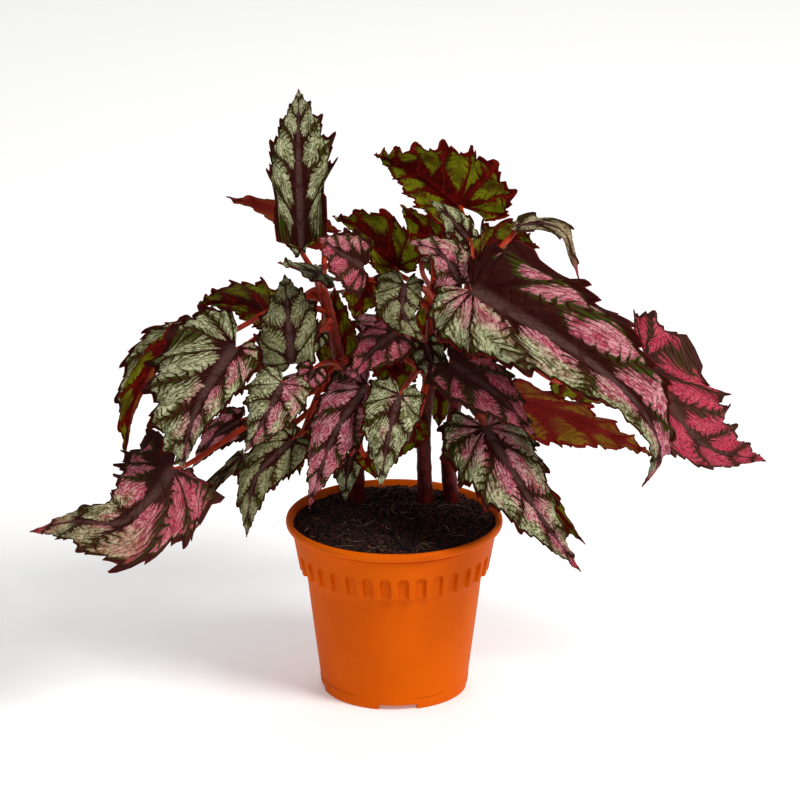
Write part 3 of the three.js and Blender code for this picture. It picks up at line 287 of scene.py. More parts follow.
# rib: the midrib from the stalk to the tip. faces: the way the upper side faces at its two ends. For the
# left and right half: half widths, lobe lengths behind the stalk, degrees of droop, and how far the veins
# lean ahead. fold: degrees that the two halves are folded up along the midrib.
Leaf = namedtuple(
    "Leaf", "name cane climb size tint rib faces half lobe bend fold forward", defaults=((0, 0),))
LEAVES = [
    Leaf("tall", "left", 0.93, "large", "silver",
         [(-67, -2, 339), (-69, 6, 396), (-69, 34, 449)],
         [(0.05, -1, 0.12), (0.05, -1, 0.25)], (25, 31), (8, 4), (20, 10), 8, (0.9, 1.2)),
    Leaf("tall_behind", "left", 0.85, "small", "red",
         [(-52, 70, 330), (-90, 82, 344), (-125, 96, 349)],
         [(0, 0.95, 0.3), (0, 0.95, 0.3)], (14, 16), (12, 12), (20, 20), 0),
    Leaf("pink_crown", "left", 0.97, "medium", "pink",
         [(-23, -22, 333), (-39, -44, 350), (-54, -62, 367)],
         [(0.1, -0.85, 0.5), (0, -0.8, 0.6)], (24, 24), (12, 12), (25, 25), 5),
    Leaf("crown_edge", "left", 0.9, "small", "silver",
         [(-52, -18, 326), (-67, -34, 334), (-83, -48, 344)],
         [(0.1, -0.35, 0.94), (0, -0.35, 0.94)], (16, 18), (6, 6), (20, 30), 8),
    Leaf("red_fan", "centre", 0.97, "medium", "red",
         [(1, 52, 307), (-19, 62, 332), (-46, 70, 342)],
         [(0, 0.95, 0.3), (0, 0.9, 0.4)], (30, 14), (10, 8), (20, 40), 0, (0.2, 0)),
    Leaf("top_fan", "right", 0.97, "large", "red",
         [(48, 55, 354), (17, 58, 378), (-15, 60, 392)],
         [(0, 0.95, 0.25), (0, 0.9, 0.4)], (46, 22), (32, 8), (10, 45), 0, (0.15, 0.3)),
    Leaf("crown_curl", "right", 0.95, "small", "dark",
         [(53, 10, 344), (39, 2, 363), (26, -4, 377)],
         [(0, -0.7, 0.7), (0, -0.7, 0.7)], (15, 15), (8, 8), (30, 30), 6),
    Leaf("burgundy", "right", 0.93, "medium", "red",
         [(63, 70, 308), (84, 80, 318), (108, 86, 312)],
         [(0, 0.85, 0.5), (0, 0.85, 0.5)], (18, 38), (10, 18), (20, 25), 0),
    Leaf("right_edge", "right", 0.9, "small", "silver",
         [(90, 48, 341), (110, 44, 344), (125, 41, 337), (130, 38, 321), (136, 36, 301)],
         [(0, -0.35, 0.94), (0.5, -0.8, 0.3)], (10, 7), (5, 5), (10, 25), 6),
    Leaf("great", "right", 0.9, "large", "pink",
         [(56, -48, 323), (118, -84, 296), (167, -100, 261), (187, -100, 228), (187, -98, 208),
          (177, -94, 190)],
         [(0.15, -0.78, 0.62), (0.6, -0.75, 0.3)], (56, 44), (16, 22), (35, 38), 8, (0.1, -0.3)),
    Leaf("far_right", "right", 0.8, "large", "pink",
         [(183, 0, 255), (200, -14, 226), (227, -22, 195), (271, -24, 184)],
         [(0.1, -0.85, 0.5), (0.2, -0.8, 0.55)], (43, 27), (36, 8), (20, 20), 8, (0.8, 0.2)),
    Leaf("low_right", "right", 0.62, "large", "red",
         [(80, 72, 201), (124, 88, 182), (164, 94, 161), (197, 96, 144)],
         [(0, 0.9, 0.42), (0, 0.9, 0.42)], (34, 26), (10, 10), (20, 25), 0, (0.1, 0.1)),
    Leaf("right_shade", "right", 0.75, "small", "red",
         [(128, 60, 218), (149, 66, 204), (169, 70, 194)],
         [(0, 0.8, 0.6), (0, 0.8, 0.6)], (18, 18), (8, 8), (20, 20), 0),
    Leaf("plum", "right", 0.7, "medium", "plum",
         [(42, -40, 265), (76, -66, 248), (102, -76, 221)],
         [(0.1, -0.8, 0.58), (0.2, -0.8, 0.5)], (26, 26), (14, 14), (35, 35), 6),
    Leaf("front_right", "right", 0.52, "large", "silver",
         [(66, -46, 218), (87, -78, 193), (109, -96, 162), (134, -104, 129)],
         [(0.1, -0.85, 0.5), (0.3, -0.85, 0.4)], (30, 38), (12, 24), (35, 35), 6, (-0.15, -0.1)),
    Leaf("front_right_back", "right", 0.5, "small", "red",
         [(98, -20, 176), (119, -40, 152), (139, -52, 130)],
         [(0.3, 0.8, 0.5), (0.3, 0.8, 0.5)], (15, 15), (6, 6), (20, 20), 0),
    Leaf("front_left", "left", 0.62, "large", "pink",
         [(-20, -38, 246), (-41, -64, 223), (-53, -78, 196), (-61, -84, 170)],
         [(-0.2, -0.9, 0.42), (-0.2, -0.9, 0.3)], (24, 28), (14, 18), (35, 35), 6),
    Leaf("magenta", "centre", 0.72, "medium", "plum",
         [(0, -30, 284), (-16, -46, 276), (-32, -56, 258)],
         [(0, -0.8, 0.58), (-0.1, -0.8, 0.5)], (20, 20), (12, 10), (30, 30), 5),
    Leaf("front", "centre", 0.6, "medium", "silver",
         [(4, -62, 248), (-4, -84, 224), (-10, -88, 187)],
         [(0, -0.9, 0.42), (0, -0.95, 0.3)], (20, 26), (12, 14), (35, 35), 6),
    Leaf("young_crown", "centre", 0.93, "medium", "dark",
         [(8, -40, 324), (7, -60, 309), (21, -64, 290)],
         [(0, -0.85, 0.5), (0, -0.9, 0.4)], (14, 24), (10, 14), (30, 30), 5),
    Leaf("silver_crown", "right", 0.94, "medium", "silver",
         [(48, -30, 323), (33, -44, 349), (10, -58, 364)],
         [(0, -0.75, 0.66), (0, -0.7, 0.7)], (22, 22), (10, 10), (30, 30), 6),
    Leaf("left_upright", "left", 0.75, "medium", "silver",
         [(-74, -30, 263), (-76, -30, 292), (-79, -14, 324)],
         [(-0.1, -1, 0.1), (0, -1, 0.25)], (26, 26), (10, 3), (35, 30), 8, (0.3, 0.8)),
    Leaf("left_silver", "left", 0.8, "large", "silver",
         [(-114, -46, 278), (-134, -72, 254), (-146, -82, 229), (-152, -84, 198)],
         [(-0.2, -0.85, 0.5), (-0.2, -0.9, 0.4)], (22, 54), (12, 26), (35, 25), 6, (0, 0.35)),
    Leaf("left_arch", "left", 0.85, "large", "red",
         [(-138, 58, 253), (-172, 70, 235), (-196, 72, 191), (-202, 66, 150)],
         [(-0.1, 0.95, 0.3), (-0.3, 0.95, 0.1)], (28, 7), (28, 5), (20, 25), 0),
    Leaf("left_red", "left", 0.9, "medium", "red",
         [(-88, 66, 264), (-115, 76, 273), (-147, 84, 268)],
         [(0, 0.85, 0.5), (0, 0.85, 0.5)], (42, 16), (24, 8), (20, 40), 0),
    Leaf("low_left", "left", 0.45, "large", "pink",
         [(-160, -58, 191), (-175, -81, 176), (-197, -94, 163), (-230, -92, 163), (-262, -86, 153)],
         [(-0.2, -0.85, 0.5), (-0.2, -0.8, 0.55)], (42, 42), (2, 30), (20, 25), 5, (0.14, -0.45)),
    Leaf("low_left_back", "left", 0.5, "small", "plum",
         [(-113, 0, 207), (-132, -6, 196), (-148, -8, 173)],
         [(-0.1, -0.8, 0.6), (-0.1, -0.8, 0.6)], (14, 14), (8, 8), (25, 25), 4),
    Leaf("left_dull", "left", 0.5, "medium", "silver",
         [(-74, -40, 206), (-100, -60, 184), (-107, -66, 141)],
         [(-0.2, -0.85, 0.5), (-0.1, -0.95, 0.3)], (19, 20), (10, 12), (30, 35), 6, (0.1, 0.1)),
    Leaf("left_thin", "left", 0.47, "small", "silver",
         [(-111, -14, 185), (-133, -24, 164), (-140, -28, 146), (-147, -28, 130)],
         [(-0.5, -0.5, 0.7), (-0.6, -0.6, 0.5)], (7, 9), (4, 4), (25, 35), 6),
    Leaf("left_pink", "left", 0.45, "medium", "pink",
         [(-80, -58, 256), (-90, -74, 240), (-107, -82, 212)],
         [(-0.1, -0.85, 0.5), (-0.1, -0.85, 0.5)], (24, 24), (12, 12), (30, 30), 5),
    Leaf("young_left", "left", 0.55, "small", "plum",
         [(-58, -42, 261), (-62, -48, 254), (-66, -52, 245)],
         [(0, -0.85, 0.5), (0, -0.85, 0.5)], (12, 12), (5, 5), (25, 25), 5),
    Leaf("dark_left", "left", 0.78, "small", "dark",
         [(-54, -18, 280), (-60, -22, 272), (-66, -24, 262)],
         [(0, -0.85, 0.5), (0, -0.85, 0.5)], (9, 10), (4, 4), (25, 25), 5),
    Leaf("olive_upright", "left", 0.7, "medium", "red",
         [(-39, 36, 238), (-43, 38, 268), (-44, 44, 296)],
         [(0, 1, 0.05), (0, 1, 0.1)], (20, 20), (8, 8), (50, 50), -5, (0.2, 0.2)),
    Leaf("dark_crown", "centre", 0.9, "small", "red",
         [(-18, 30, 306), (-24, 32, 291), (-30, 32, 275)],
         [(0, 0.9, 0.4), (0, 0.9, 0.4)], (18, 18), (6, 6), (30, 30), 0, (0.3, 0.3)),
    Leaf("shade_right", "centre", 0.8, "small", "red",
         [(27, 64, 244), (26, 68, 265), (25, 74, 286)],
         [(0, 1, 0.1), (0, 1, 0.2)], (16, 16), (6, 6), (30, 30), 0),
    # A silver leaf in shadow: its dark look is partly painted shade.
    Leaf("spotted", "centre", 0.7, "small", "dark",
         [(23, -22, 273), (28, -30, 260), (32, -34, 243)],
         [(0.1, -0.85, 0.5), (0.1, -0.85, 0.5)], (14, 14), (6, 6), (25, 25), 5),
    Leaf("olive_low", "centre", 0.65, "small", "red",
         [(15, 20, 197), (6, 22, 181), (-2, 22, 166)],
         [(0, 0.95, 0.3), (0, 0.95, 0.3)], (14, 14), (6, 6), (25, 25), 0),
    # A silver leaf in shadow: its dark look is partly painted shade.
    Leaf("near_soil", "left", 0.3, "small", "dark",
         [(-32, -2, 179), (-35, -8, 164), (-36, -10, 147)],
         [(0, -0.95, 0.3), (0, -0.95, 0.3)], (11, 12), (4, 4), (25, 25), 4),
    Leaf("red_low", "left", 0.55, "small", "red",
         [(-21, -20, 187), (-17, -24, 179), (-13, -24, 170)],
         [(0, 0.95, 0.3), (0, 0.95, 0.3)], (7, 7), (3, 3), (20, 20), 0),
    Leaf("left_inner", "left", 0.75, "small", "red",
         [(-90, -12, 264), (-100, -18, 259), (-109, -20, 250)],
         [(0, 0.9, 0.4), (0, 0.9, 0.4)], (10, 10), (4, 4), (20, 20), 0),
    Leaf("crown_red", "centre", 0.95, "small", "red",
         [(30, 34, 333), (17, 40, 347), (4, 44, 359)],
         [(0, 0.9, 0.4), (0, 0.9, 0.4)], (16, 16), (8, 8), (25, 25), 0),
    Leaf("shade_centre", "centre", 0.6, "small", "red",
         [(3, 66, 234), (-1, 70, 214), (-3, 70, 197)],
         [(0, 0.9, 0.4), (0, 0.9, 0.4)], (20, 20), (8, 8), (25, 25), 0),
    Leaf("shade_low", "right", 0.55, "small", "red",
         [(37, 52, 217), (34, 58, 198), (33, 60, 180)],
         [(0, 0.9, 0.4), (0, 0.9, 0.4)], (14, 14), (6, 6), (25, 25), 0),
    Leaf("left_olive", "left", 0.62, "small", "red",
         [(-67, -12, 202), (-70, -16, 187), (-69, -16, 170)],
         [(0, 0.95, 0.3), (0, 0.95, 0.3)], (12, 10), (4, 4), (20, 20), 0),
    Leaf("back_high", "centre", 0.95, "large", "silver",
         [(20, 95, 300), (25, 135, 295), (30, 180, 262)],
         [(0, 0.6, 0.8), (0, 0.85, 0.5)], (34, 34), (18, 18), (35, 35), 6),
    Leaf("back_left", "left", 0.4, "large", "pink",
         [(-45, 95, 275), (-75, 128, 258), (-100, 150, 215)],
         [(-0.4, 0.6, 0.7), (-0.4, 0.85, 0.4)], (32, 32), (16, 16), (35, 35), 6),
    Leaf("back_right", "right", 0.85, "large", "silver",
         [(78, 100, 280), (103, 132, 265), (124, 158, 226)],
         [(0.4, 0.6, 0.7), (0.4, 0.85, 0.4)], (32, 32), (16, 16), (35, 35), 6),
    Leaf("back_mid", "centre", 0.75, "medium", "pink",
         [(0, 92, 250), (-8, 138, 240), (-14, 172, 200)],
         [(0, 0.6, 0.8), (0, 0.85, 0.4)], (30, 30), (14, 14), (35, 35), 6),
    Leaf("back_low_right", "right", 0.57, "medium", "silver",
         [(52, 88, 215), (66, 125, 202), (76, 155, 162)],
         [(0.2, 0.6, 0.8), (0.2, 0.85, 0.4)], (28, 28), (14, 14), (35, 35), 6),
    Leaf("back_low_left", "left", 0.45, "medium", "plum",
         [(-50, 88, 212), (-66, 122, 200), (-78, 150, 160)],
         [(-0.2, 0.6, 0.8), (-0.2, 0.85, 0.4)], (28, 28), (14, 14), (35, 35), 6),
]


# ---------------------------------------------------------------- node trees as expressions


class Wire:
    """An output socket that takes part in arithmetic. Each operation adds a node to its tree."""

    def __init__(self, nodes, socket):
        self.nodes, self.socket = nodes, socket

    def math(self, operation, *others, clamp=False):
        values = dict(enumerate((self, *others)))
        return self.nodes.add("ShaderNodeMath", {"operation": operation, "use_clamp": clamp}, values)

    def __add__(self, other):
        return self.math("ADD", other)

    def __sub__(self, other):
        return self.math("SUBTRACT", other)

    def __mul__(self, other):
        return self.math("MULTIPLY", other)

    def __abs__(self):
        return self.math("ABSOLUTE")

    def __rsub__(self, other):
        return self.nodes.add("ShaderNodeMath", {"operation": "SUBTRACT"}, {0: other, 1: self})

    __radd__ = __add__
    __rmul__ = __mul__

    def fract(self):
        """The part after the decimal point."""
        return self.math("FRACT")

    def most(self, other):
        """The greater of the two."""
        return self.math("MAXIMUM", other)

    def held(self):
        """The value, held between 0 and 1."""
        return self.math("ADD", 0, clamp=True)

    def step(self, low, high):
        """0 up to low, 1 from high, and smooth between them."""
        return self.nodes.add("ShaderNodeMapRange", {"interpolation_type": "SMOOTHSTEP"}, {
            "Value": self, "From Min": low, "From Max": high})


class Nodes:
    """A node tree that is filled by expressions."""

    def __init__(self, tree):
        self.tree = tree
        tree.nodes.clear()

    def node(self, kind, settings=None, values=None):
        """Adds a node: its settings first, then its inputs as values or wires."""
        node = self.tree.nodes.new(kind)
        for key, value in (settings or {}).items():
            setattr(node, key, value)
        for key, value in (values or {}).items():
            socket = node.inputs[key]
            if isinstance(value, Wire):
                self.tree.links.new(value.socket, socket)
            else:
                socket.default_value = value
        return node

    def add(self, kind, settings=None, values=None, output=0):
        """Adds a node and returns one of its outputs as a wire."""
        outputs = self.node(kind, settings, values).outputs
        return Wire(self, outputs[output]) if outputs else None

    def vector(self, x=0.0, y=0.0, z=0.0):
        return self.add("ShaderNodeCombineXYZ", None, {0: x, 1: y, 2: z})

    def parts(self, vector):
        node = self.node("ShaderNodeSeparateXYZ", None, {0: vector})
        return [Wire(self, socket) for socket in node.outputs]

    def scaled(self, vector, share):
        return self.add("ShaderNodeVectorMath", {"operation": "SCALE"}, {0: vector, "Scale": share})


class Finish(Nodes):
    """A material with one Principled shader, whose patterns are written as expressions."""

    def __init__(self, name):
        self.material = bpy.data.materials.new(name)
        self.material.use_nodes = True
        super().__init__(self.material.node_tree)

    def place(self):
        return self.add("ShaderNodeTexCoord", output="Object")

    def noise(self, vector, scale, detail=3.0, roughness=0.55):
        values = {"Vector": vector, "Scale": scale, "Detail": detail, "Roughness": roughness}
        return self.add("ShaderNodeTexNoise", None, values)

    def cells(self, vector, scale):
        return self.add("ShaderNodeTexVoronoi", None, {"Vector": vector, "Scale": scale}, output="Distance")

    def mix(self, factor, first, second):
        """Colour from first, at factor 0, to second, at factor 1."""
        return self.add("ShaderNodeMix", {"data_type": "RGBA"}, {0: factor, 6: first, 7: second}, output=2)

    def bump(self, height, distance, strength=1.0):
        return self.add("ShaderNodeBump", None, {
            "Height": height, "Distance": distance, "Strength": strength})

    def shade(self, colour, roughness, normal=None, **constants):
        values = {"Base Color": colour, "Roughness": roughness, **constants}
        if normal is not None:
            values["Normal"] = normal
        surface = self.add("ShaderNodeBsdfPrincipled", None, values)
        self.add("ShaderNodeOutputMaterial", None, {"Surface": surface})
        return self.material


def srgb(red, green, blue):
    """A colour given as the 0 to 255 values that a screen shows."""
    shares = [part / 255 for part in (red, green, blue)]
    return tuple(s / 12.92 if s <= 0.04045 else ((s + 0.055) / 1.055) ** 2.4 for s in shares) + (1.0,)


# ---------------------------------------------------------------- finishes

SILVER = srgb(88, 88, 48)
PALE_SILVER = srgb(186, 188, 148)
DULL_SILVER = srgb(112, 106, 66)
PINK = srgb(152, 52, 76)
PALE_PINK = srgb(204, 140, 146)
DEEP_PINK = srgb(184, 50, 74)
CRIMSON = srgb(140, 22, 30)
FROST = srgb(190, 190, 168)
PINK_FROST = srgb(204, 150, 152)
OLIVE = srgb(50, 62, 8)
PLUM = srgb(48, 18, 15)
PLUM_GREY = srgb(84, 58, 54)
ROSY_GREY = srgb(86, 52, 46)
MAROON = srgb(44, 8, 5)
MARGIN_BROWN = srgb(62, 27, 19)
MARGIN_RED = srgb(104, 18, 14)
UNDERSIDE_RED = srgb(92, 9, 5)
UNDERSIDE_DARK = srgb(46, 6, 4)
UNDERSIDE_VEIN = srgb(124, 24, 12)
UNDERSIDE_WASH = srgb(140, 36, 30)
UNDERSIDE_OLIVE = srgb(84, 82, 10)
UNDERSIDE_LIGHT = srgb(120, 126, 18)
BLADE_SHEEN = 0.03


class BladePattern:
    """Where a place is on its blade, and its leaf's own looks, as wires of a blade's finish."""

    def __init__(self, finish):
        across, along, _ = finish.parts(finish.add("ShaderNodeUVMap", {"uv_map": "blade"}))
        look = finish.node("ShaderNodeAttribute", {"attribute_name": "look"})
        self.pinkness, self.shade, self.wash = finish.parts(Wire(finish, look.outputs["Color"]))
        seed = Wire(finish, look.outputs["Alpha"]) * 40
        wander = finish.noise(finish.vector(along * 0.8, across * 2.2, seed), 1.0, 2.0)
        swing = finish.noise(finish.vector(along * 3.1, across * 5, seed + 9), 1.0, 3.0)
        self.out = abs(across)
        along = along + (wander - 0.5) * 0.7 + (swing - 0.5) * 0.3
        self.gap = abs(along.fract() - 0.5) * 2
        self.barb = abs((self.out * BARBS - self.gap * BARB_SLANT + seed).fract() - 0.5) * 2
        self.feather = finish.noise(finish.vector(along * 9, across * 4.5, seed), 1.0, 5.0, 0.65)
        self.cloud = finish.noise(finish.vector(along * 1.1, across * 2.4, seed + 4), 1.3, 2.0)
        place = finish.place()
        self.streak = finish.noise(finish.vector(along * 17, across * 5, seed + 2), 1.0, 4.0, 0.6)
        self.speck = finish.noise(place, 620, 2.0)
        self.grain = finish.noise(place, 230, 4.0)
        self.mottle = finish.noise(place, 90, 3.0)

    def inside_patch(self, inner_end, fall, vein_width, outer_start, raggedness, barb_share):
        """Above 0 inside the patches between the main veins, which stay clear of midrib and margin."""
        inner = 1.0 - (self.out - inner_end) * fall
        outer = 1.0 + (self.out - outer_start) * 16
        width = inner.most(outer).most(vein_width + (self.cloud - 0.5) * 0.35)
        barbs = (1 - self.barb.step(0.0, 0.5)) * (1.2 - self.gap) * barb_share
        return self.gap - width + (self.feather - 0.5) * raggedness - barbs


def blade_upper():
    """Silver or pink patches between ragged dark veins, round a dark midrib and in a red-brown margin."""
    finish = Finish("blade upper side")
    blade = BladePattern(finish)
    out, gap, shade = blade.out, blade.gap, blade.shade
    ragged = blade.inside_patch(0.03 + shade, 5.0, 0.1 + shade * 0.45, 0.95 - shade * 0.3, 1.0, 0.6)
    rim = (out + (blade.feather - 0.5) * 0.2 + shade * 0.3).step(0.9, 0.98)
    inside = ragged.step(0.0, 0.07) * (1 - rim)
    light = (blade.streak * 0.7 + blade.mottle * 0.2 + blade.grain * 0.2).step(0.46, 0.64)
    silver = finish.mix(light, SILVER, PALE_SILVER)
    pink = finish.mix(light, PINK, PALE_PINK)
    rosy = (blade.pinkness * 1.8 - out * 0.9 + (blade.cloud - 0.5) * 1.6).step(0.1, 0.7)
    patch = finish.mix(rosy, silver, pink)
    patch = finish.mix((0 - blade.pinkness).held(), patch, DULL_SILVER)
    frosty = finish.mix(rosy, FROST, PINK_FROST)
    patch = finish.mix((0 - blade.wash * 1.4).held() * (0.7 + blade.mottle * 0.4), patch, frosty)
    patch = finish.mix(blade.wash.held() * (0.6 + blade.cloud * 0.5), patch, DEEP_PINK)
    patch = finish.mix((1 - ragged.step(0.05, 0.45)) * 0.5, patch, MARGIN_BROWN)
    patch = finish.mix((1 - blade.speck.step(0.38, 0.46)) * 0.6, patch, MARGIN_BROWN)
    patch = finish.mix((1 - blade.barb.step(0.0, 0.24)) * 0.25 * out.step(0.1, 0.4), patch, OLIVE)
    plum = finish.mix(blade.mottle.step(0.35, 0.65), PLUM, MAROON)
    plum = finish.mix((1 - out.step(0.04, 0.16)) * 0.8, plum, PLUM_GREY)
    dark = finish.mix((rim + shade * 0.6).held(), plum, MAROON)
    fringe = ragged.step(-0.5, -0.1) * out.step(0.2, 0.6) * (1 - rim)
    dark = finish.mix(fringe * 0.85, dark, OLIVE)
    dark = finish.mix((1 - gap.step(0.02, 0.14)) * 0.7 * (1 - shade), dark, MARGIN_BROWN)
    dark = finish.mix(out.step(0.965, 1.0) * 0.8, dark, MARGIN_RED)
    dark = finish.mix(blade.wash.held() * 0.5, dark, ROSY_GREY)
    dark = finish.mix(((-0.5 - blade.wash) * 3.2 * (0.4 + blade.cloud)).held(), dark, frosty)
    colour = finish.mix(inside, dark, patch)
    colour = finish.mix((blade.wash - 1).held() * 0.85, colour, CRIMSON)
    relief = gap.step(0.0, 0.2) * 0.8 + blade.barb.step(0.0, 0.3) * 0.4
    normal = finish.bump(blade.grain * 0.6 + relief + blade.mottle * 0.6, 0.0018, 0.9)
    roughness = 0.5 + blade.grain * 0.2 - inside * 0.05
    return finish.shade(colour, roughness, normal, **{"Specular IOR Level": BLADE_SHEEN})


def blade_underside():
    """Deep red along the veins, with olive windows between them."""
    finish = Finish("blade underside")
    blade = BladePattern(finish)
    out, gap = blade.out, blade.gap
    ragged = blade.inside_patch(0.15, 2.6, 0.1, 0.93, 0.9, 0.4)
    inside = ragged.step(-0.05, 0.3)
    vein = 1 - gap.step(0.04, 0.18)
    small_vein = 1 - blade.barb.step(0.02, 0.3)
    red = finish.mix((blade.mottle + blade.grain * 0.4).step(0.5, 0.85), UNDERSIDE_DARK, UNDERSIDE_RED)
    lightness = (blade.cloud * 0.7 + blade.mottle * 0.4).step(0.45, 0.65)
    olive = finish.mix(lightness, UNDERSIDE_OLIVE, UNDERSIDE_LIGHT)
    colour = finish.mix(inside * (0.45 + 0.55 * blade.cloud.step(0.3, 0.6)), red, olive)
    colour = finish.mix(small_vein * 0.5, colour, UNDERSIDE_RED)
    colour = finish.mix(blade.wash.held() * 0.8, colour, UNDERSIDE_WASH)
    colour = finish.mix(vein * 0.6, colour, UNDERSIDE_VEIN)
    colour = finish.mix(out.step(0.93, 1.0) * 0.6, colour, MARGIN_RED)
    relief = vein + small_vein * 0.5 + blade.grain * 0.4
    normal = finish.bump(relief, 0.0012, 0.8)
    return finish.shade(colour, 0.5 + blade.grain * 0.2, normal, **{"Specular IOR Level": BLADE_SHEEN})


def stem_skin():
    """Dark red on the old canes and bright red on the young stalks, streaked along and finely pored."""
    finish = Finish("stem skin")
    skin = finish.add("ShaderNodeAttribute", {"attribute_name": "skin"}, output="Vector")
    beside, above, along = finish.parts(skin)
    youth = finish.add("ShaderNodeAttribute", {"attribute_name": "youth"}, output="Fac")
    streak = finish.noise(finish.vector(beside * 2.4, above * 2.4, along * 0.11), 1.0, 4.0)
    place = finish.place()
    grain = finish.noise(place, 420, 3.0)
    pore = finish.cells(place, 330)
    old = finish.mix(streak.step(0.3, 0.7), srgb(52, 10, 8), srgb(98, 18, 12))
    young = finish.mix(streak.step(0.3, 0.75), srgb(116, 18, 8), srgb(200, 60, 10))
    colour = finish.mix(youth.step(0.15, 0.75), old, young)
    colour = finish.mix((1 - pore.step(0.1, 0.2)) * 0.35, colour, srgb(150, 90, 70))
    normal = finish.bump(streak * 0.7 + grain * 0.5, 0.0006, 0.6)
    return finish.shade(colour, 0.36 + grain * 0.2, normal, **{"Specular IOR Level": 0.15})


def stem_hair():
    finish = Finish("stem hair")
    tint = finish.noise(finish.place(), 80, 1.0)
    return finish.shade(finish.mix(tint, srgb(112, 36, 26), srgb(170, 104, 84)), 0.6)


def pot_plastic():
    """Orange moulded plastic: drawn streaks, light scuffs, a dusty rim and a fine seam over the foot."""
    finish = Finish("pot plastic")
    place = finish.place()
    cloud = finish.noise(place, 14, 3.0)
    grain = finish.noise(place, 900, 2.0)
    x, y, z = finish.parts(place)
    drawn = finish.noise(finish.vector(x * 160, y * 160, z * 6), 1.0, 3.0)
    scuff = finish.noise(finish.vector(x * 30, y * 30, z * 320), 1.0, 4.0)
    colour = finish.mix(cloud.step(0.3, 0.7), srgb(206, 84, 0), srgb(216, 93, 0))
    colour = finish.mix((1 - scuff.step(0.3, 0.36)) * 0.18, colour, srgb(226, 120, 40))
    dust_from, dust_to = (height * MM for height in RIM_DUST_HEIGHTS)
    dusty = z.step(dust_from, dust_to) * (1 - scuff.step(0.34, 0.5)) * 0.3
    colour = finish.mix(dusty, colour, srgb(96, 52, 24))
    seam = (1 - abs(z - SEAM_HEIGHT * MM).step(0.1 * MM, 0.5 * MM)) * scuff.step(0.35, 0.55)
    colour = finish.mix(seam * 0.6, colour, srgb(96, 40, 6))
    normal = finish.bump(grain * 0.35 + drawn * 0.3, 0.0002, 0.5)
    return finish.shade(colour, 0.4 + cloud * 0.12 + grain * 0.08, normal, **{"Specular IOR Level": 0.04})


def potting_soil():
    """Near black peat with brown lumps and flecks."""
    finish = Finish("potting soil")
    place = finish.place()
    clump = finish.noise(place, 120, 5.0)
    grain = finish.noise(place, 900, 4.0)
    lump = finish.noise(place, 420, 2.0)
    colour = finish.mix(clump.step(0.42, 0.6), srgb(5, 3, 3), srgb(32, 16, 13))
    colour = finish.mix(lump.step(0.52, 0.62) * 0.8, colour, srgb(84, 42, 34))
    colour = finish.mix(grain.step(0.6, 0.72) * 0.7, colour, srgb(116, 72, 58))
    normal = finish.bump(clump + grain * 0.6, 0.002, 0.9)
    return finish.shade(colour, 0.86 + grain * 0.1, normal, **{"Specular IOR Level": 0.2})


def root_fibre():
    finish = Finish("root fibre")
    tint = finish.noise(finish.place(), 60, 2.0)
    return finish.shade(finish.mix(tint.step(0.35, 0.65), srgb(66, 32, 24), srgb(176, 140, 108)), 0.75)


def pale_grit():
    finish = Finish("pale grit")
    tint = finish.noise(finish.place(), 300, 3.0)
    return finish.shade(finish.mix(tint, srgb(110, 92, 66), srgb(208, 196, 160)), 0.8)


# ---------------------------------------------------------------- mesh helpers


def new_mesh_object(name, places, faces, finishes):
    """An object from places in millimetres and faces of any size, shaded smooth."""
    mesh = bpy.data.meshes.new(name)
    mesh.from_pydata((np.asarray(places) * MM).tolist(), [], faces)
    for finish in finishes:
        mesh.materials.append(finish)
    mesh.shade_smooth()
    mesh.validate()
    piece = bpy.data.objects.new(name, mesh)
    bpy.context.scene.collection.objects.link(piece)
    return piece


def corner_map(piece, name, values):
    """Adds a UV map from one pair of numbers for each face corner."""
    layer = piece.data.uv_layers.new(name=name)
    layer.uv.foreach_set("vector", np.asarray(values, dtype=np.float32).ravel())


def place_values(piece, name, kind, values):
    """Adds an attribute with a number or a vector for each place of the mesh."""
    field = {"FLOAT": "value", "FLOAT_VECTOR": "vector", "FLOAT_COLOR": "color"}[kind]
    attribute = piece.data.attributes.new(name, kind, "POINT")
    attribute.data.foreach_set(field, np.asarray(values, dtype=np.float32).ravel())


def baked(piece):
    """Turns a piece's modifiers into its mesh."""
    graph = bpy.context.evaluated_depsgraph_get()
    mesh = bpy.data.meshes.new_from_object(piece.evaluated_get(graph))
    piece.modifiers.clear()
    piece.data = mesh
    return piece


def smooth_step(low, high, value):
    t = np.clip((value - low) / (high - low), 0, 1)
    return t * t * (3 - 2 * t)


def fits(piece, slot, *nodes):
    """The piece rides on the part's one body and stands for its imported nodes."""
    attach(piece, "root")
    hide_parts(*nodes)
    return piece


# ---------------------------------------------------------------- leaf blades


def outline_place(vein):
    """Across in half widths and along in blade lengths, where the veins numbered 0 to 1 reach the outline."""
    last = len(BLADE_OUTLINE) - 1
    scaled = np.clip(vein, 0, 1) * last
    first = np.minimum(scaled.astype(int), last - 1)
    t = (scaled - first)[:, None]
    p0, p1, p2, p3 = (BLADE_OUTLINE[np.clip(first + shift, 0, last)] for shift in (-1, 0, 1, 2))
    bend = 2 * p0 - 5 * p1 + 4 * p2 - p3
    place = 0.5 * (2 * p1 + (p2 - p0) * t + bend * t ** 2 + (3 * p1 - p0 - 3 * p2 + p3) * t ** 3)
    return place[:, 0], place[:, 1]


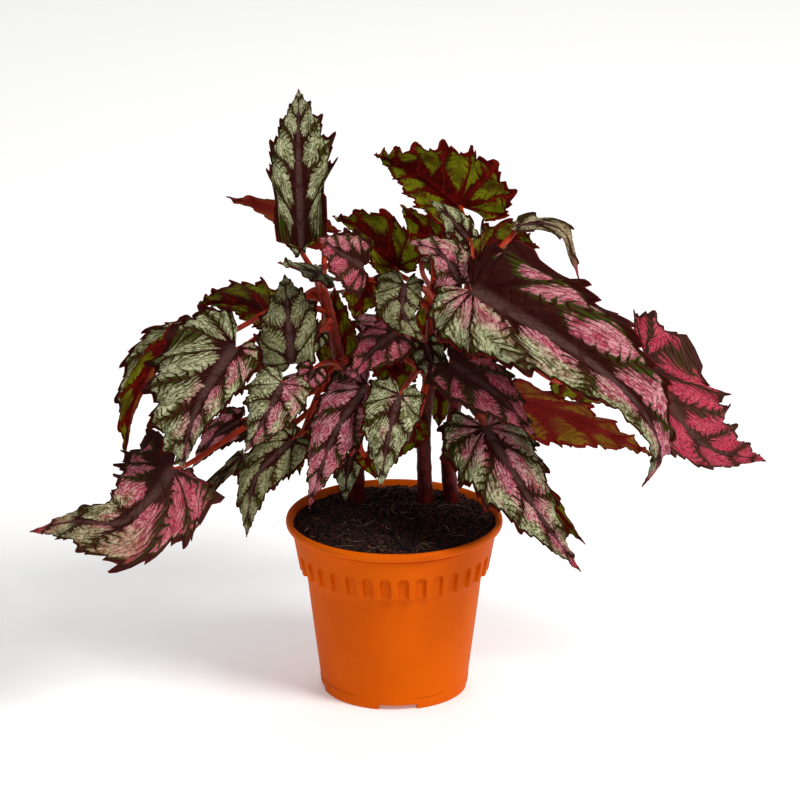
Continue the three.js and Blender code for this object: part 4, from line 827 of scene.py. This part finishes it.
class Midrib:
    """A smooth curve through a leaf's rib places, with the direction that its blade faces."""

    def __init__(self, leaf):
        self.places = np.array(leaf.rib, float)
        steps = np.linalg.norm(np.diff(self.places, axis=0), axis=1)
        self.length = steps.sum()
        self.knots = np.append(0, np.cumsum(steps)) / self.length
        inner = (self.places[2:] - self.places[:-2]) / (self.knots[2:] - self.knots[:-2])[:, None]
        ends = np.diff(self.places, axis=0)[[0, -1]] / np.diff(self.knots)[[0, -1]][:, None]
        self.slopes = np.vstack([ends[:1], inner, ends[1:]])
        self.faces = np.array(leaf.faces, float)

    def place(self, along):
        s = np.clip(along, 0, 1)
        index = np.clip(np.searchsorted(self.knots, s, side="right") - 1, 0, len(self.knots) - 2)
        width = self.knots[index + 1] - self.knots[index]
        t = ((s - self.knots[index]) / width)[..., None]
        width = width[..., None]
        start = (2 * t ** 3 - 3 * t ** 2 + 1) * self.places[index]
        leave = (t ** 3 - 2 * t ** 2 + t) * width * self.slopes[index]
        end = (3 * t ** 2 - 2 * t ** 3) * self.places[index + 1]
        arrive = (t ** 3 - t ** 2) * width * self.slopes[index + 1]
        return start + leave + end + arrive

    def frame(self, along):
        """Unit directions ahead, to the right and up from the blade, at each place along."""
        s = np.clip(along, 0, 1)
        ahead = unit(self.place(s + 0.02) - self.place(s - 0.02))
        face = self.faces[0] + (self.faces[1] - self.faces[0]) * s[..., None]
        right = unit(np.cross(ahead, face))
        return ahead, right, np.cross(right, ahead)


def unit(vectors):
    return vectors / np.linalg.norm(vectors, axis=-1, keepdims=True)


def column_places(steps):
    """Places from the midrib, 0, to the margin, 1: one near the midrib, then closer together outward."""
    evenly = np.linspace(0, 1, steps)
    return np.append(0, MIDRIB_SHARE + (1 - MIDRIB_SHARE) * (1 - (1 - evenly) ** STEP_CROWDING))


def blade_spread(leaf, rib, which, vein, out, teeth, until_tip):
    """Millimetres across and shares of the midrib along, for a half blade laid flat."""
    edge_across, plain = outline_place(vein)
    ahead_of_stalk = np.maximum(plain, 0)

    def shifted(forward):
        return np.where(plain > 0, ahead_of_stalk ** (1 / (1 + forward)), plain)

    edge_along = shifted(leaf.forward[which])
    start = np.maximum(0, shifted(sum(leaf.forward) / 2) - VEIN_SLANT * edge_across)
    behind = np.where(edge_along < 0, edge_along * leaf.lobe[which] / rib.length, edge_along)
    behind = behind + BASE_ROUNDS.get(leaf.name, 0) * edge_across ** 2 * (1 - smooth_step(0.1, 0.4, vein))
    fine = (vein * BLADE_VEINS[leaf.size] * FINE_TEETH + 1e-6) % 1 * until_tip
    deep = LOBE_DEPTHS.get(leaf.name, (1, 1))[which]
    reach = out * (1 + TOOTH_REACH * deep * np.outer(teeth, out ** 2))
    reach = reach + FINE_TOOTH * np.outer(fine - 0.5, smooth_step(0.8, 1, out))
    pulled = smooth_step(0.2, 1.4, leaf.forward[which]) * (1 - smooth_step(0.1, 0.5, vein))
    across = (edge_across * leaf.half[which] * (1 - BASE_PULL * pulled))[:, None] * reach
    return across, start[:, None] + (behind - start)[:, None] * reach


def blade_relief(leaf, vein, out, teeth, until_tip, phase):
    """Shares of the half width that a half blade rises by: its rippled margin, its frill and its quilting."""
    veins = BLADE_VEINS[leaf.size]
    wave = MARGIN_WAVE * np.sin(2 * math.pi * (MARGIN_WAVES * vein + phase)) * until_tip
    frill = np.sin(2 * math.pi * (veins * FRILLS_PER_VEIN[0] * vein + 3 * phase))
    frill = (frill + 0.5 * np.sin(2 * math.pi * (veins * FRILLS_PER_VEIN[1] * vein + phase))) * until_tip
    puff = np.sin(math.pi * (vein * veins % 1 + 0.5)) ** 2 * until_tip
    ripple = MARGIN_RIPPLE * np.outer(teeth + wave, out ** 2)
    frills = FRILL * np.outer(frill, smooth_step(0.55, 1, out))
    return ripple + frills + QUILT * np.outer(puff, out * (1 - out ** 3))


def blade_half(leaf, rib, which, vein, out, phase):
    """Middle sheet of one half: an array of rows for the veins and columns from the midrib outward."""
    side = (-1, 1)[which]
    half = leaf.half[which]
    until_tip = np.minimum(1, TIP_TAPER * (1 - vein))
    teeth = (TOOTH_POINT - 2 * np.abs(np.cos(math.pi * BLADE_VEINS[leaf.size] * vein))) * until_tip
    across, along = blade_spread(leaf, rib, which, vein, out, teeth, until_tip)
    ahead, right, up = rib.frame(along)
    lift = math.radians(leaf.fold)
    droop = math.radians(leaf.bend[which]) / half
    turned = lift - droop * across
    sideways = (math.sin(lift) - np.sin(turned)) / droop
    upward = (np.cos(turned) - math.cos(lift)) / droop
    place = rib.place(along) + (np.minimum(along, 0) * rib.length)[..., None] * ahead
    place = place + side * sideways[..., None] * right
    relief = half * blade_relief(leaf, vein, out, teeth, until_tip, phase)
    height = upward * smooth_step(0, 2 * STALK_FLAT, across) + relief
    return place + height[..., None] * up


def corner_normals(places, faces):
    """The mean direction of the faces round each place."""
    normals = np.zeros_like(places)
    one, two, three, four = (places[faces[:, i]] for i in range(4))
    slopes = np.cross(three - one, four - two)
    for i in range(4):
        np.add.at(normals, faces[:, i], slopes)
    return unit(normals + 1e-12)


def underside_depth(maps, veins):
    """How far the underside lies under the middle sheet, with its ridges on the veins and on the midrib."""
    across, along = np.abs(maps[:, 0]), maps[:, 1]
    from_vein = 0.5 - np.abs((along + 0.5) % 1 - 0.5)
    from_vein = np.where(across < RIDGE_START, 1, from_vein)
    ridge = RIDGE * np.clip(1 - from_vein / RIDGE_WIDTH, 0, 1) * smooth_step(0.95, 0.3, across)
    midrib = MIDRIB_RIDGE * np.clip(1 - across / (MIDRIB_RIDGE_WIDTH * MIDRIB_SHARE), 0, 1)
    return BLADE_THICKNESS / 2 + np.maximum(ridge, midrib * (1 - MIDRIB_FADE * along / veins))


def blade_look(leaf, maps, veins):
    """Each place's pinkness, shade and wash, as its leaf's looks say."""
    looks = LOOKS.get(leaf.name, TINTS[leaf.tint])
    left_look, right_look = looks if isinstance(looks[0], tuple) else (looks, looks)
    blend = smooth_step(-LOOK_BLEND, LOOK_BLEND, maps[:, 0])[:, None]
    look = np.array(left_look) * (1 - blend) + np.array(right_look) * blend
    toward_tip = maps[:, 1] / veins
    look[:, 1] *= np.clip(1.2 - 1.15 * toward_tip, 0, 1) ** 2.2
    if leaf.name in FADING:
        look *= (1 - 0.8 * smooth_step(0.4, 0.75, toward_tip))[:, None]
    tip = smooth_step(TIP_STARTS.get(leaf.name, TIP_START), 1, toward_tip)
    look[:, 2] = np.maximum(look[:, 2], TIP_WASH * tip)
    return look


def without_repeats(face):
    """A face's corners without those that stand on the corner before them. A folded face has none left."""
    kept = [i for i in range(len(face)) if face[i] != face[i - 1]]
    return kept if len({face[i] for i in kept}) == len(kept) > 2 else []


class BladeSkin:
    """The faces of a blade, with the place on the blade's map of each corner, and with each face's finish."""

    def __init__(self, maps):
        self.maps, self.seen = maps, set()
        self.faces, self.corners, self.finishes = [], [], []

    def add(self, face, numbers, finish):
        kept = without_repeats(face)
        key = frozenset(int(face[i]) for i in kept)
        if kept and key not in self.seen:
            self.seen.add(key)
            self.faces.append([int(face[i]) for i in kept])
            self.corners.extend(self.maps[numbers[i]] for i in kept)
            self.finishes.append(finish)


def blade_skin(leaf, maps, known, number, quads):
    """Upper side, underside and edge. On a side that FOLDED_SIDES names, the underside takes the upper side's
    finish beyond a line near the margin.
    """
    skin = BladeSkin(maps)
    below = known.max() + 1
    folded_side = FOLDED_SIDES.get(leaf.name, 0)
    for quad in quads:
        face = known[quad]
        skin.add(face, quad, UPPER)
        across, toward_tip = maps[quad].mean(axis=0) / (1, BLADE_VEINS[leaf.size])
        folded = folded_side * across > FOLD_START + FOLD_END * smooth_step(0.45, 0.75, toward_tip)
        skin.add(face[::-1] + below, quad[::-1], UPPER if folded else UNDERSIDE)
    edge = np.concatenate([number[0, :-1], number[:-1, -1], number[1:, 0][::-1]])
    edge_next = np.concatenate([number[0, 1:], number[1:, -1], number[:-1, 0][::-1]])
    for p, q in zip(edge, edge_next):
        a, b = known[p], known[q]
        if a != b:
            skin.add(np.array([b, a, a + below, b + below]), np.array([q, p, p, q]), UPPER)
    return skin


def blade_piece(leaf, order):
    """A leaf blade with its teeth, puffed quilting and veins that stand out underneath."""
    rib = Midrib(leaf)
    veins = BLADE_VEINS[leaf.size]
    vein = np.linspace(0, 1, veins * ROWS_PER_VEIN + 1)
    out = column_places(BLADE_STEPS[leaf.size])
    phase = order * PHASE_STEP % 1
    left, right = (blade_half(leaf, rib, which, vein, out, phase) for which in (0, 1))
    grid = np.concatenate([left[:, :0:-1], right], axis=1)
    rows, columns = grid.shape[:2]
    across_map, along_map = np.meshgrid(np.append(-out[:0:-1], out), vein * veins)
    maps = np.stack([across_map.ravel(), along_map.ravel()], axis=1)

    grid = grid.reshape(-1, 3)
    welded = (grid * WELD_PER_MM).round().astype(int)
    _, firsts, known = np.unique(welded, axis=0, return_index=True, return_inverse=True)
    known = known.ravel()
    number = np.arange(rows * columns).reshape(rows, columns)
    quads = np.stack([number[:-1, :-1], number[:-1, 1:], number[1:, 1:], number[1:, :-1]], axis=-1)
    quads = quads.reshape(-1, 4)
    places = grid[firsts]
    normals = corner_normals(places, known[quads])
    top = places + normals * BLADE_THICKNESS / 2
    bottom = places - normals * underside_depth(maps[firsts], veins)[:, None]

    skin = blade_skin(leaf, maps, known, number, quads)
    piece = new_mesh_object("blade_" + leaf.name, np.vstack([top, bottom]), skin.faces, BLADE_MATERIALS)
    piece.data.polygons.foreach_set("material_index", skin.finishes)
    corner_map(piece, "blade", skin.corners)
    seeds = np.full((len(places), 1), phase)
    look = np.hstack([blade_look(leaf, maps[firsts], veins), seeds])
    place_values(piece, "look", "FLOAT_COLOR", np.tile(look, (2, 1)))
    piece.data.set_sharp_from_angle(angle=BLADE_SHARP_ANGLE)
    return fits(piece, "blade_" + leaf.tint, "leaf_" + leaf.name)


# ---------------------------------------------------------------- canes and stalks


class CaneCurve:
    """A centripetal spline up a cane, from its foot in the soil to its top."""

    def __init__(self, route):
        places = np.array(route, float)
        foot = places[0] - (0, 0, CANE_DEPTH_IN_SOIL)
        places = np.vstack([foot, places])
        before, after = 2 * places[0] - places[1], 2 * places[-1] - places[-2]
        self.places = np.vstack([before, places, after])
        self.parts = len(places) - 1
        samples = self.at(np.linspace(0, 1, CANE_SAMPLES + 1))
        steps = np.linalg.norm(np.diff(samples, axis=0), axis=1)
        self.length = steps.sum()
        self.shares = np.append(0, np.cumsum(steps)) / self.length

    def at(self, t):
        scaled = np.asarray(t, float) * self.parts
        first = np.minimum(scaled.astype(int), self.parts - 1)
        t = (scaled - first)[..., None]
        p0, p1, p2, p3 = (self.places[first + shift] for shift in range(4))
        steps = (p1 - p0, p2 - p1, p3 - p2)
        d0, d1, d2 = (np.sqrt(np.linalg.norm(step, axis=-1))[..., None] for step in steps)
        leave = ((p1 - p0) / d0 - (p2 - p0) / (d0 + d1) + (p2 - p1) / d1) * d1
        arrive = ((p2 - p1) / d1 - (p3 - p1) / (d1 + d2) + (p3 - p2) / d2) * d1
        square = 3 * (p2 - p1) - 2 * leave - arrive
        return p1 + leave * t + square * t ** 2 + (2 * (p1 - p2) + leave + arrive) * t ** 3

    def climbed(self, share):
        """The place at a share of the cane's length."""
        return self.at(np.interp(share, self.shares, np.linspace(0, 1, CANE_SAMPLES + 1)))


class Shells:
    """Closed tubes that are gathered for one mesh."""

    def __init__(self):
        self.places, self.faces, self.skin, self.youth = [], [], [], []

    def tube(self, centres, radii, youth, sides):
        """A round tube, closed at both ends, that carries how young it is and a place on its skin."""
        ahead = unit(np.gradient(centres, axis=0))
        side = unit(np.cross(ahead[0], (0.31, 0.83, 0.17)))
        start = len(self.places)
        turn = np.arange(sides) * 2 * math.pi / sides
        run = np.append(0, np.cumsum(np.linalg.norm(np.diff(centres, axis=0), axis=1)))
        for centre, direction, radius, young, travelled in zip(centres, ahead, radii, youth, run):
            side = unit(side - direction * side.dot(direction))
            other = np.cross(direction, side)
            for angle in turn:
                outward = side * math.cos(angle) + other * math.sin(angle)
                self.places.append(centre + outward * radius)
                self.skin.append((math.cos(angle), math.sin(angle), travelled))
                self.youth.append(young)
        rings = len(centres)
        for ring in range(rings - 1):
            for i in range(sides):
                a, b = start + ring * sides + i, start + ring * sides + (i + 1) % sides
                self.faces.append([a, b, b + sides, a + sides])
        self.faces.append([start + i for i in reversed(range(sides))])
        self.faces.append([start + (rings - 1) * sides + i for i in range(sides)])


def stalk_path(leaf, curve):
    """From inside the cane to the underside of the blade, at the start of its midrib."""
    rib = Midrib(leaf)
    ahead, _, up = (part[0] for part in rib.frame(np.array([0.0])))
    start = curve.climbed(leaf.climb)
    upward = unit(curve.climbed(leaf.climb + CLIMB_STEP) - curve.climbed(leaf.climb - CLIMB_STEP))
    end = rib.places[0] - up * BLADE_THICKNESS / 2
    span = np.linalg.norm(end - start)
    arrival = unit(up * STALK_ARRIVAL[0] + ahead * STALK_ARRIVAL[1])
    bends = (start, start + upward * span * STALK_RISE, end - arrival * span * STALK_APPROACH, end)
    count = max(STALK_LEAST_STEPS, int(span / STALK_STEP))
    t = np.linspace(0, 1, count)[:, None]
    weights = ((1 - t) ** 3, 3 * t * (1 - t) ** 2, 3 * t ** 2 * (1 - t), t ** 3)
    return sum(weight * bend for weight, bend in zip(weights, bends)), span


def swell(distance, share, reach):
    """1 far away, and more near 0: how much a stem thickens at a joint or a scar."""
    return 1 + share * np.exp(-distance / reach)


def cane_piece(name, route):
    """A cane with the scars of its leaves, and the stalks of those that it still has."""
    curve = CaneCurve(route)
    own = [leaf for leaf in LEAVES if leaf.cane == name]
    shells = Shells()
    shares = np.linspace(0, 1, int(curve.length / CANE_STEP))
    radii = CANE_FOOT_RADIUS + (CANE_TOP_RADIUS - CANE_FOOT_RADIUS) * shares
    for scar in [leaf.climb - SCAR_UNDER_STALK for leaf in own] + OLD_SCARS:
        radii = radii * swell(((shares - scar) * curve.length / SCAR_HEIGHT) ** 2, SCAR_SWELL, 1)
    radii[-3:] *= CANE_END_SHARES
    shells.tube(curve.climbed(shares), radii, 0.5 * shares ** 1.6, CANE_SIDES)
    for leaf in own:
        path, span = stalk_path(leaf, curve)
        run = np.linspace(0, 1, len(path))
        radii = STALK_FOOT_RADIUS + (STALK_TIP_RADIUS - STALK_FOOT_RADIUS) * run
        radii = radii * swell(run * span, *STALK_FOOT_SWELL) * swell((1 - run) * span, *STALK_TIP_SWELL)
        shells.tube(path, radii, 0.42 + 0.58 * run ** 0.8, STALK_SIDES)
    piece = new_mesh_object(f"cane_{name}_stems", shells.places, shells.faces, [STEM_SKIN])
    place_values(piece, "skin", "FLOAT_VECTOR", shells.skin)
    place_values(piece, "youth", "FLOAT", shells.youth)
    return fits(piece, "cane_skin", "cane_" + name)


# ---------------------------------------------------------------- scattered small things


def scattered(name, surface, finish, density, sizes, shape, tilt, least_height=0.0):
    """Small shapes strewn over a surface, as one mesh. Sizes and heights are in metres."""
    given = {"Density": density, "Smallest": sizes[0], "Largest": sizes[1], "Tilt": tilt,
             "Least height": least_height, "Seed": SCATTER_SEED}
    tree = bpy.data.node_groups.new(name, "GeometryNodeTree")
    tree.is_modifier = True
    tree.interface.new_socket("Surface", in_out="INPUT", socket_type="NodeSocketGeometry")
    sockets = {}
    for label in given:
        kind = "NodeSocketInt" if label == "Seed" else "NodeSocketFloat"
        sockets[label] = tree.interface.new_socket(label, in_out="INPUT", socket_type=kind)
    tree.interface.new_socket("Pieces", in_out="OUTPUT", socket_type="NodeSocketGeometry")
    nodes = Nodes(tree)
    wires = {socket.name: Wire(nodes, socket) for socket in nodes.node("NodeGroupInput").outputs}
    height = nodes.parts(nodes.add("GeometryNodeInputPosition"))[2]
    high = nodes.add("FunctionNodeCompare", {"operation": "GREATER_THAN"}, {
        0: height, 1: wires["Least height"]})
    points = nodes.node("GeometryNodeDistributePointsOnFaces", None, {
        "Mesh": wires["Surface"], "Selection": high, "Density": wires["Density"], "Seed": wires["Seed"]})
    spread = nodes.vector(wires["Tilt"], wires["Tilt"], SCATTER_SPIN)
    turns = nodes.add("FunctionNodeRandomValue", {"data_type": "FLOAT_VECTOR"}, {
        0: nodes.scaled(spread, -1.0), 1: spread})
    turned = nodes.add("FunctionNodeRotateRotation", {"rotation_space": "LOCAL"}, {
        "Rotation": Wire(nodes, points.outputs["Rotation"]), "Rotate By": turns})
    scale = nodes.add("FunctionNodeRandomValue", {"data_type": "FLOAT"}, {
        2: wires["Smallest"], 3: wires["Largest"]}, output=1)
    strewn = nodes.add("GeometryNodeInstanceOnPoints", None, {
        "Points": Wire(nodes, points.outputs["Points"]), "Instance": shape(nodes),
        "Rotation": turned, "Scale": scale})
    real = nodes.add("GeometryNodeRealizeInstances", None, {"Geometry": strewn})
    finished = nodes.add("GeometryNodeSetMaterial", None, {"Geometry": real, "Material": finish})
    nodes.add("NodeGroupOutput", None, {"Pieces": finished})
    host = bpy.data.objects.new(name, surface.data.copy())
    bpy.context.scene.collection.objects.link(host)
    modifier = host.modifiers.new(name, "NODES")
    modifier.node_group = tree
    for label, value in given.items():
        modifier[sockets[label].identifier] = value
    return baked(host)


def hair_shape(nodes):
    """An open-ended cone of three sides, as long as its scale says."""
    settings = {"fill_type": "NONE"}
    values = {"Vertices": 3, "Radius Top": 0.0, "Radius Bottom": HAIR_THICKNESS, "Depth": 1.0}
    return nodes.add("GeometryNodeMeshCone", settings, values)


def crumb_shape(nodes):
    """A flattened ball of twenty faces."""
    ball = nodes.add("GeometryNodeMeshIcoSphere", None, {"Radius": 1.0, "Subdivisions": 1})
    return nodes.add("GeometryNodeTransform", None, {"Geometry": ball, "Scale": CRUMB_SHAPE})


# ---------------------------------------------------------------- pot and soil


def lathe(name, rings, finishes):
    """A closed turned body. Each ring is an array of places, or one place for a pole at either end."""
    rings = [np.atleast_2d(ring) for ring in rings]
    starts = np.append(0, np.cumsum([len(ring) for ring in rings])).tolist()
    faces = []
    for first, second, start, then in zip(rings, rings[1:], starts, starts[1:]):
        count = max(len(first), len(second))
        for a in range(count):
            b = (a + 1) % count
            if len(first) == 1:
                faces.append([start, then + b, then + a])
            elif len(second) == 1:
                faces.append([start + a, start + b, then])
            else:
                faces.append([start + a, start + b, then + b, then + a])
    return new_mesh_object(name, np.vstack(rings), faces, finishes)


def wall_radius(height):
    """The pot's outside between its foot and its collar, which steps in over the foot."""
    radius = FOOT_RADIUS + (BODY_TOP_RADIUS - FOOT_RADIUS) * (height - WALL_BOTTOM) / (WALL_TOP - WALL_BOTTOM)
    low, high = FOOT_LEDGE_HEIGHTS
    return radius - (FOOT_LEDGE * (1 - height / high) if low < height < high else 0)


def pot_profile():
    """Radius and height from the underside's middle up the outside, over the rim and down the inside."""
    below = [(FOOT_PAD_RADIUS, 0), (FOOT_PAD_RADIUS + FOOT_PAD_EDGE, FLOOR_UNDERSIDE)]
    foot = [(FOOT_RADIUS + outward, height) for outward, height in FOOT_RING]
    heights = np.append(FOOT_WALL_HEIGHTS, np.linspace(WALL_RINGS_FROM, WALL_TOP, WALL_RINGS))
    wall = [(wall_radius(height), height) for height in heights]
    lip = [(BODY_TOP_RADIUS + LIP_ROUND, COLLAR_BOTTOM - 2 * LIP_ROUND),
           (COLLAR_BOTTOM_RADIUS - LIP_ROUND, COLLAR_BOTTOM - COLLAR_EDGE)]
    collar_radii = np.linspace(COLLAR_BOTTOM_RADIUS, COLLAR_TOP_RADIUS, COLLAR_RINGS)
    collar = list(zip(collar_radii, np.linspace(COLLAR_BOTTOM + COLLAR_EDGE, COLLAR_TOP, COLLAR_RINGS)))
    rim = [(RIM_RADIUS - inward, POT_HEIGHT - under) for inward, under in RIM_BEAD]
    return np.array(below + foot + wall + lip + collar + rim + [tuple(place) for place in INNER_WALL[::-1]])


def drain_cutter(number):
    """A round bar through the pot's floor."""
    angle = 2 * math.pi * (number + 0.5) / DRAIN_COUNT
    centre = np.array((DRAIN_CIRCLE * math.cos(angle), DRAIN_CIRCLE * math.sin(angle), 0.0))
    turn = np.arange(DRAIN_SIDES) * 2 * math.pi / DRAIN_SIDES
    ring = np.stack([np.cos(turn), np.sin(turn), turn * 0], axis=1) * DRAIN_RADIUS + centre
    low, high = ((0, 0, height) for height in DRAIN_CUT)
    return lathe("drain_cutter", [centre + low, ring + low, ring + high, centre + high], [])


def pot_piece():
    """The pot: a turned shell with arches pressed into its collar, a notched foot ring and drain holes."""
    steps = ARCH_COUNT * STEPS_PER_ARCH
    turn = (np.arange(steps) + 0.5) * 2 * math.pi / steps
    beside_arch = ((turn * ARCH_COUNT / (2 * math.pi)) % 1 - 0.5) * 2 * math.pi / ARCH_COUNT
    notch_turn = (turn * FOOT_NOTCH_COUNT / (2 * math.pi) + 0.5) % 1 - 0.5
    across_notch = notch_turn * 2 * math.pi / FOOT_NOTCH_COUNT * FOOT_RADIUS - FOOT_NOTCH_OFFSET
    inside_notch = FOOT_NOTCH_WIDTH / 2 - np.abs(across_notch)
    in_notch = smooth_step(-FOOT_NOTCH_EDGE, FOOT_NOTCH_EDGE, inside_notch)
    springing = ARCH_TOP - ARCH_WIDTH / 2
    profile = pot_profile()
    rim_top = int(np.argmax(profile[:, 1]))
    angle = turn - math.pi / 2
    rings = [np.array((0.0, 0.0, 0.0))]
    for index, (radius, height) in enumerate(profile):
        radii = np.full(len(turn), radius)
        heights = np.full(len(turn), height)
        outside = index < rim_top
        if outside and COLLAR_BOTTOM - LIP_ROUND < height < ARCH_TOP + 1:
            inside = ARCH_WIDTH / 2 - np.hypot(beside_arch * radius, max(0, height - springing))
            radii = radii - ARCH_DEPTH * smooth_step(-ARCH_EDGE / 2, ARCH_EDGE / 2, inside)
        if outside and height < FOOT_NOTCH_HEIGHT and radius > FOOT_RADIUS - FOOT_RING_WIDTH:
            heights = height + (FOOT_NOTCH_HEIGHT - height) * in_notch
        rings.append(np.stack([radii * np.cos(angle), radii * np.sin(angle), heights], axis=1))
    rings.append(np.array((0.0, 0.0, FLOOR_TOP)))
    pot = lathe("pot_shell", rings, [POT_PLASTIC])
    for number in range(DRAIN_COUNT):
        cutter = drain_cutter(number)
        boolean = pot.modifiers.new("drain", "BOOLEAN")
        boolean.solver = "MANIFOLD"
        boolean.object = cutter
        baked(pot)
        bpy.data.objects.remove(cutter)
    pot.data.set_sharp_from_angle(angle=POT_SHARP_ANGLE)
    return fits(pot, "pot_plastic", "pot")


def soil_height(x, y):
    """A low mound round the canes, with lumps and crumbs."""
    away = ((x - SOIL_MOUND_CENTRE[0]) ** 2 + (y - SOIL_MOUND_CENTRE[1]) ** 2) / (2 * SOIL_MOUND_SPREAD ** 2)
    lumps = math.sin(x * 0.31 + 1.3) * math.cos(y * 0.27) + 0.6 * math.sin(x * 0.11 - y * 0.19)
    coarse = noise.fractal(Vector((x, y, 3)) * 0.11, 0.9, 2.1, 5)
    crumbly = noise.fractal(Vector((x, y, 40)) * 0.4, 0.8, 2.2, 4)
    return SOIL_EDGE + SOIL_MOUND * math.exp(-away) + 0.8 * lumps + 1.1 * coarse + 0.8 * crumbly


def soil_radius(height):
    return np.interp(height, INNER_WALL[:, 1], INNER_WALL[:, 0]) - SOIL_GAP


def soil_piece():
    """The soil, which fills the pot up to its crumbly top."""
    turn = np.arange(SOIL_SPOKES) * 2 * math.pi / SOIL_SPOKES
    bottom = FLOOR_TOP + SOIL_GAP
    rings = [np.array((0.0, 0.0, bottom))]
    for height in (bottom, *SOIL_SIDE_HEIGHTS):
        radius = soil_radius(height)
        rings.append(np.stack([radius * np.cos(turn), radius * np.sin(turn), turn * 0 + height], axis=1))
    edge = soil_radius(SOIL_EDGE - SOIL_EDGE_DROP)
    for share in np.linspace(1, 0, SOIL_RINGS)[:-1]:
        x, y = edge * share * np.cos(turn), edge * share * np.sin(turn)
        heights = [soil_height(a, b) - SOIL_EDGE_DROP * share ** 16 for a, b in zip(x, y)]
        rings.append(np.stack([x, y, heights], axis=1))
    rings.append(np.array((0.0, 0.0, soil_height(0.0, 0.0))))
    soil = lathe("soil_body", rings, [POTTING_SOIL])
    return fits(soil, "potting_soil", "soil")


def soil_fibres():
    """Pale root ends that lie over the soil."""
    random = np.random.default_rng(FIBRE_SEED)
    shells = Shells()
    for _ in range(FIBRE_COUNT):
        radius, angle = FIBRE_SPREAD * math.sqrt(random.uniform(0.02, 1)), random.uniform(0, 2 * math.pi)
        heading, bend = random.uniform(0, 2 * math.pi), random.normal(0, FIBRE_BEND)
        step_length = random.uniform(*FIBRE_LENGTHS) / FIBRE_STEPS
        places = []
        x, y = radius * math.cos(angle), radius * math.sin(angle)
        for step in range(FIBRE_STEPS):
            if math.hypot(x, y) > FIBRE_LIMIT:
                break
            arch = math.sin(math.pi * step / (FIBRE_STEPS - 1)) * random.uniform(*FIBRE_ARCH)
            places.append((x, y, soil_height(x, y) + FIBRE_LIFT + arch))
            x, y = x + step_length * math.cos(heading), y + step_length * math.sin(heading)
            heading += bend
        if len(places) > 3:
            radii = np.linspace(*FIBRE_RADII, len(places)) * random.uniform(0.7, 1.2)
            shells.tube(np.array(places), radii, np.zeros(len(places)), FIBRE_SIDES)
    return new_mesh_object("soil_fibres", shells.places, shells.faces, [ROOT_FIBRE])


# ---------------------------------------------------------------- stage, light and camera


def stage_floor():
    """A plain pale floor that glows a little, so that it stays white under the plant."""
    finish = Finish("studio floor")
    tone = finish.noise(finish.place(), 0.6, 2.0)
    glow = {"Emission Color": FLOOR_COLOUR, "Emission Strength": FLOOR_GLOW}
    material = finish.shade(finish.mix(tone, FLOOR_COLOUR, FLOOR_COLOUR_AWAY), 0.75, **glow)
    half = FLOOR_SIZE / 2
    corners = [(-half, -half, 0), (half, -half, 0), (half, half, 0), (-half, half, 0)]
    floor = new_mesh_object("studio_floor", corners, [[0, 1, 2, 3]], [material])


def area_light(name, place, size, power, colour):
    """A round soft light that faces the middle of the plant."""
    light = bpy.data.lights.new(name, "AREA")
    light.shape = "DISK"
    light.size, light.energy, light.color = size, power, colour
    lamp = bpy.data.objects.new(name, light)
    lamp.location = place
    lamp.rotation_euler = (Vector(LIGHT_TARGET) - Vector(place)).to_track_quat("-Z", "Y").to_euler()
    bpy.context.scene.collection.objects.link(lamp)


def studio_light():
    """An even white surround and the three soft lights."""
    world = bpy.data.worlds.new("studio")
    world.use_nodes = True
    bpy.context.scene.world = world
    nodes = Nodes(world.node_tree)
    sky = nodes.add("ShaderNodeBackground", None, {"Color": (1.0, 1.0, 1.0, 1.0), "Strength": WORLD_STRENGTH})
    nodes.add("ShaderNodeOutputWorld", None, {"Surface": sky})
    for name, place, size, power, colour in LIGHTS:
        area_light(name, place, size, power, colour)


def photo_camera():
    """The camera that took the photograph, as far as the pot's outline tells."""
    camera = bpy.data.cameras.new("photo_camera")
    camera.sensor_fit = "HORIZONTAL"
    camera.sensor_width = SENSOR_WIDTH
    camera.lens = CAMERA_LENS
    camera.clip_end = CLIP_END_METRES
    eye = bpy.data.objects.new("photo_camera", camera)
    aim = Vector(CAMERA_AIM)
    back = Vector((0, -math.cos(CAMERA_ELEVATION), math.sin(CAMERA_ELEVATION)))
    eye.location = (aim + back * CAMERA_DISTANCE) * MM
    eye.rotation_euler = (math.pi / 2 - CAMERA_ELEVATION, 0, 0)
    bpy.context.scene.collection.objects.link(eye)
    bpy.context.scene.camera = eye


# ---------------------------------------------------------------- the potted plant

BLADE_MATERIALS = [blade_upper(), blade_underside()]
STEM_SKIN = stem_skin()
STEM_HAIR = stem_hair()
POT_PLASTIC = pot_plastic()
POTTING_SOIL = potting_soil()
ROOT_FIBRE = root_fibre()
PALE_GRIT = pale_grit()

pot_piece()
soil = soil_piece()
fibres = soil_fibres()
strewn = (crumb_shape, STREWN_TILT, SOIL_LEAST)
crumbs = scattered("soil_crumbs", soil, POTTING_SOIL, CRUMB_DENSITY, CRUMB_SIZES, *strewn)
grit = scattered("soil_grit", soil, PALE_GRIT, GRIT_DENSITY, GRIT_SIZES, *strewn)
for small_piece in (fibres, crumbs, grit):
    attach(small_piece, "root")
for cane_name, cane_route in CANES.items():
    stems = cane_piece(cane_name, cane_route)
    hairs = scattered(
        f"cane_{cane_name}_hairs", stems, STEM_HAIR, HAIR_DENSITY, HAIR_LENGTHS, hair_shape, HAIR_TILT)
    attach(hairs, "root")
for number, entry in enumerate(LEAVES):
    blade_piece(entry, number)

stage_floor()
studio_light()
photo_camera()
bpy.context.scene.view_settings.view_transform = "Standard"
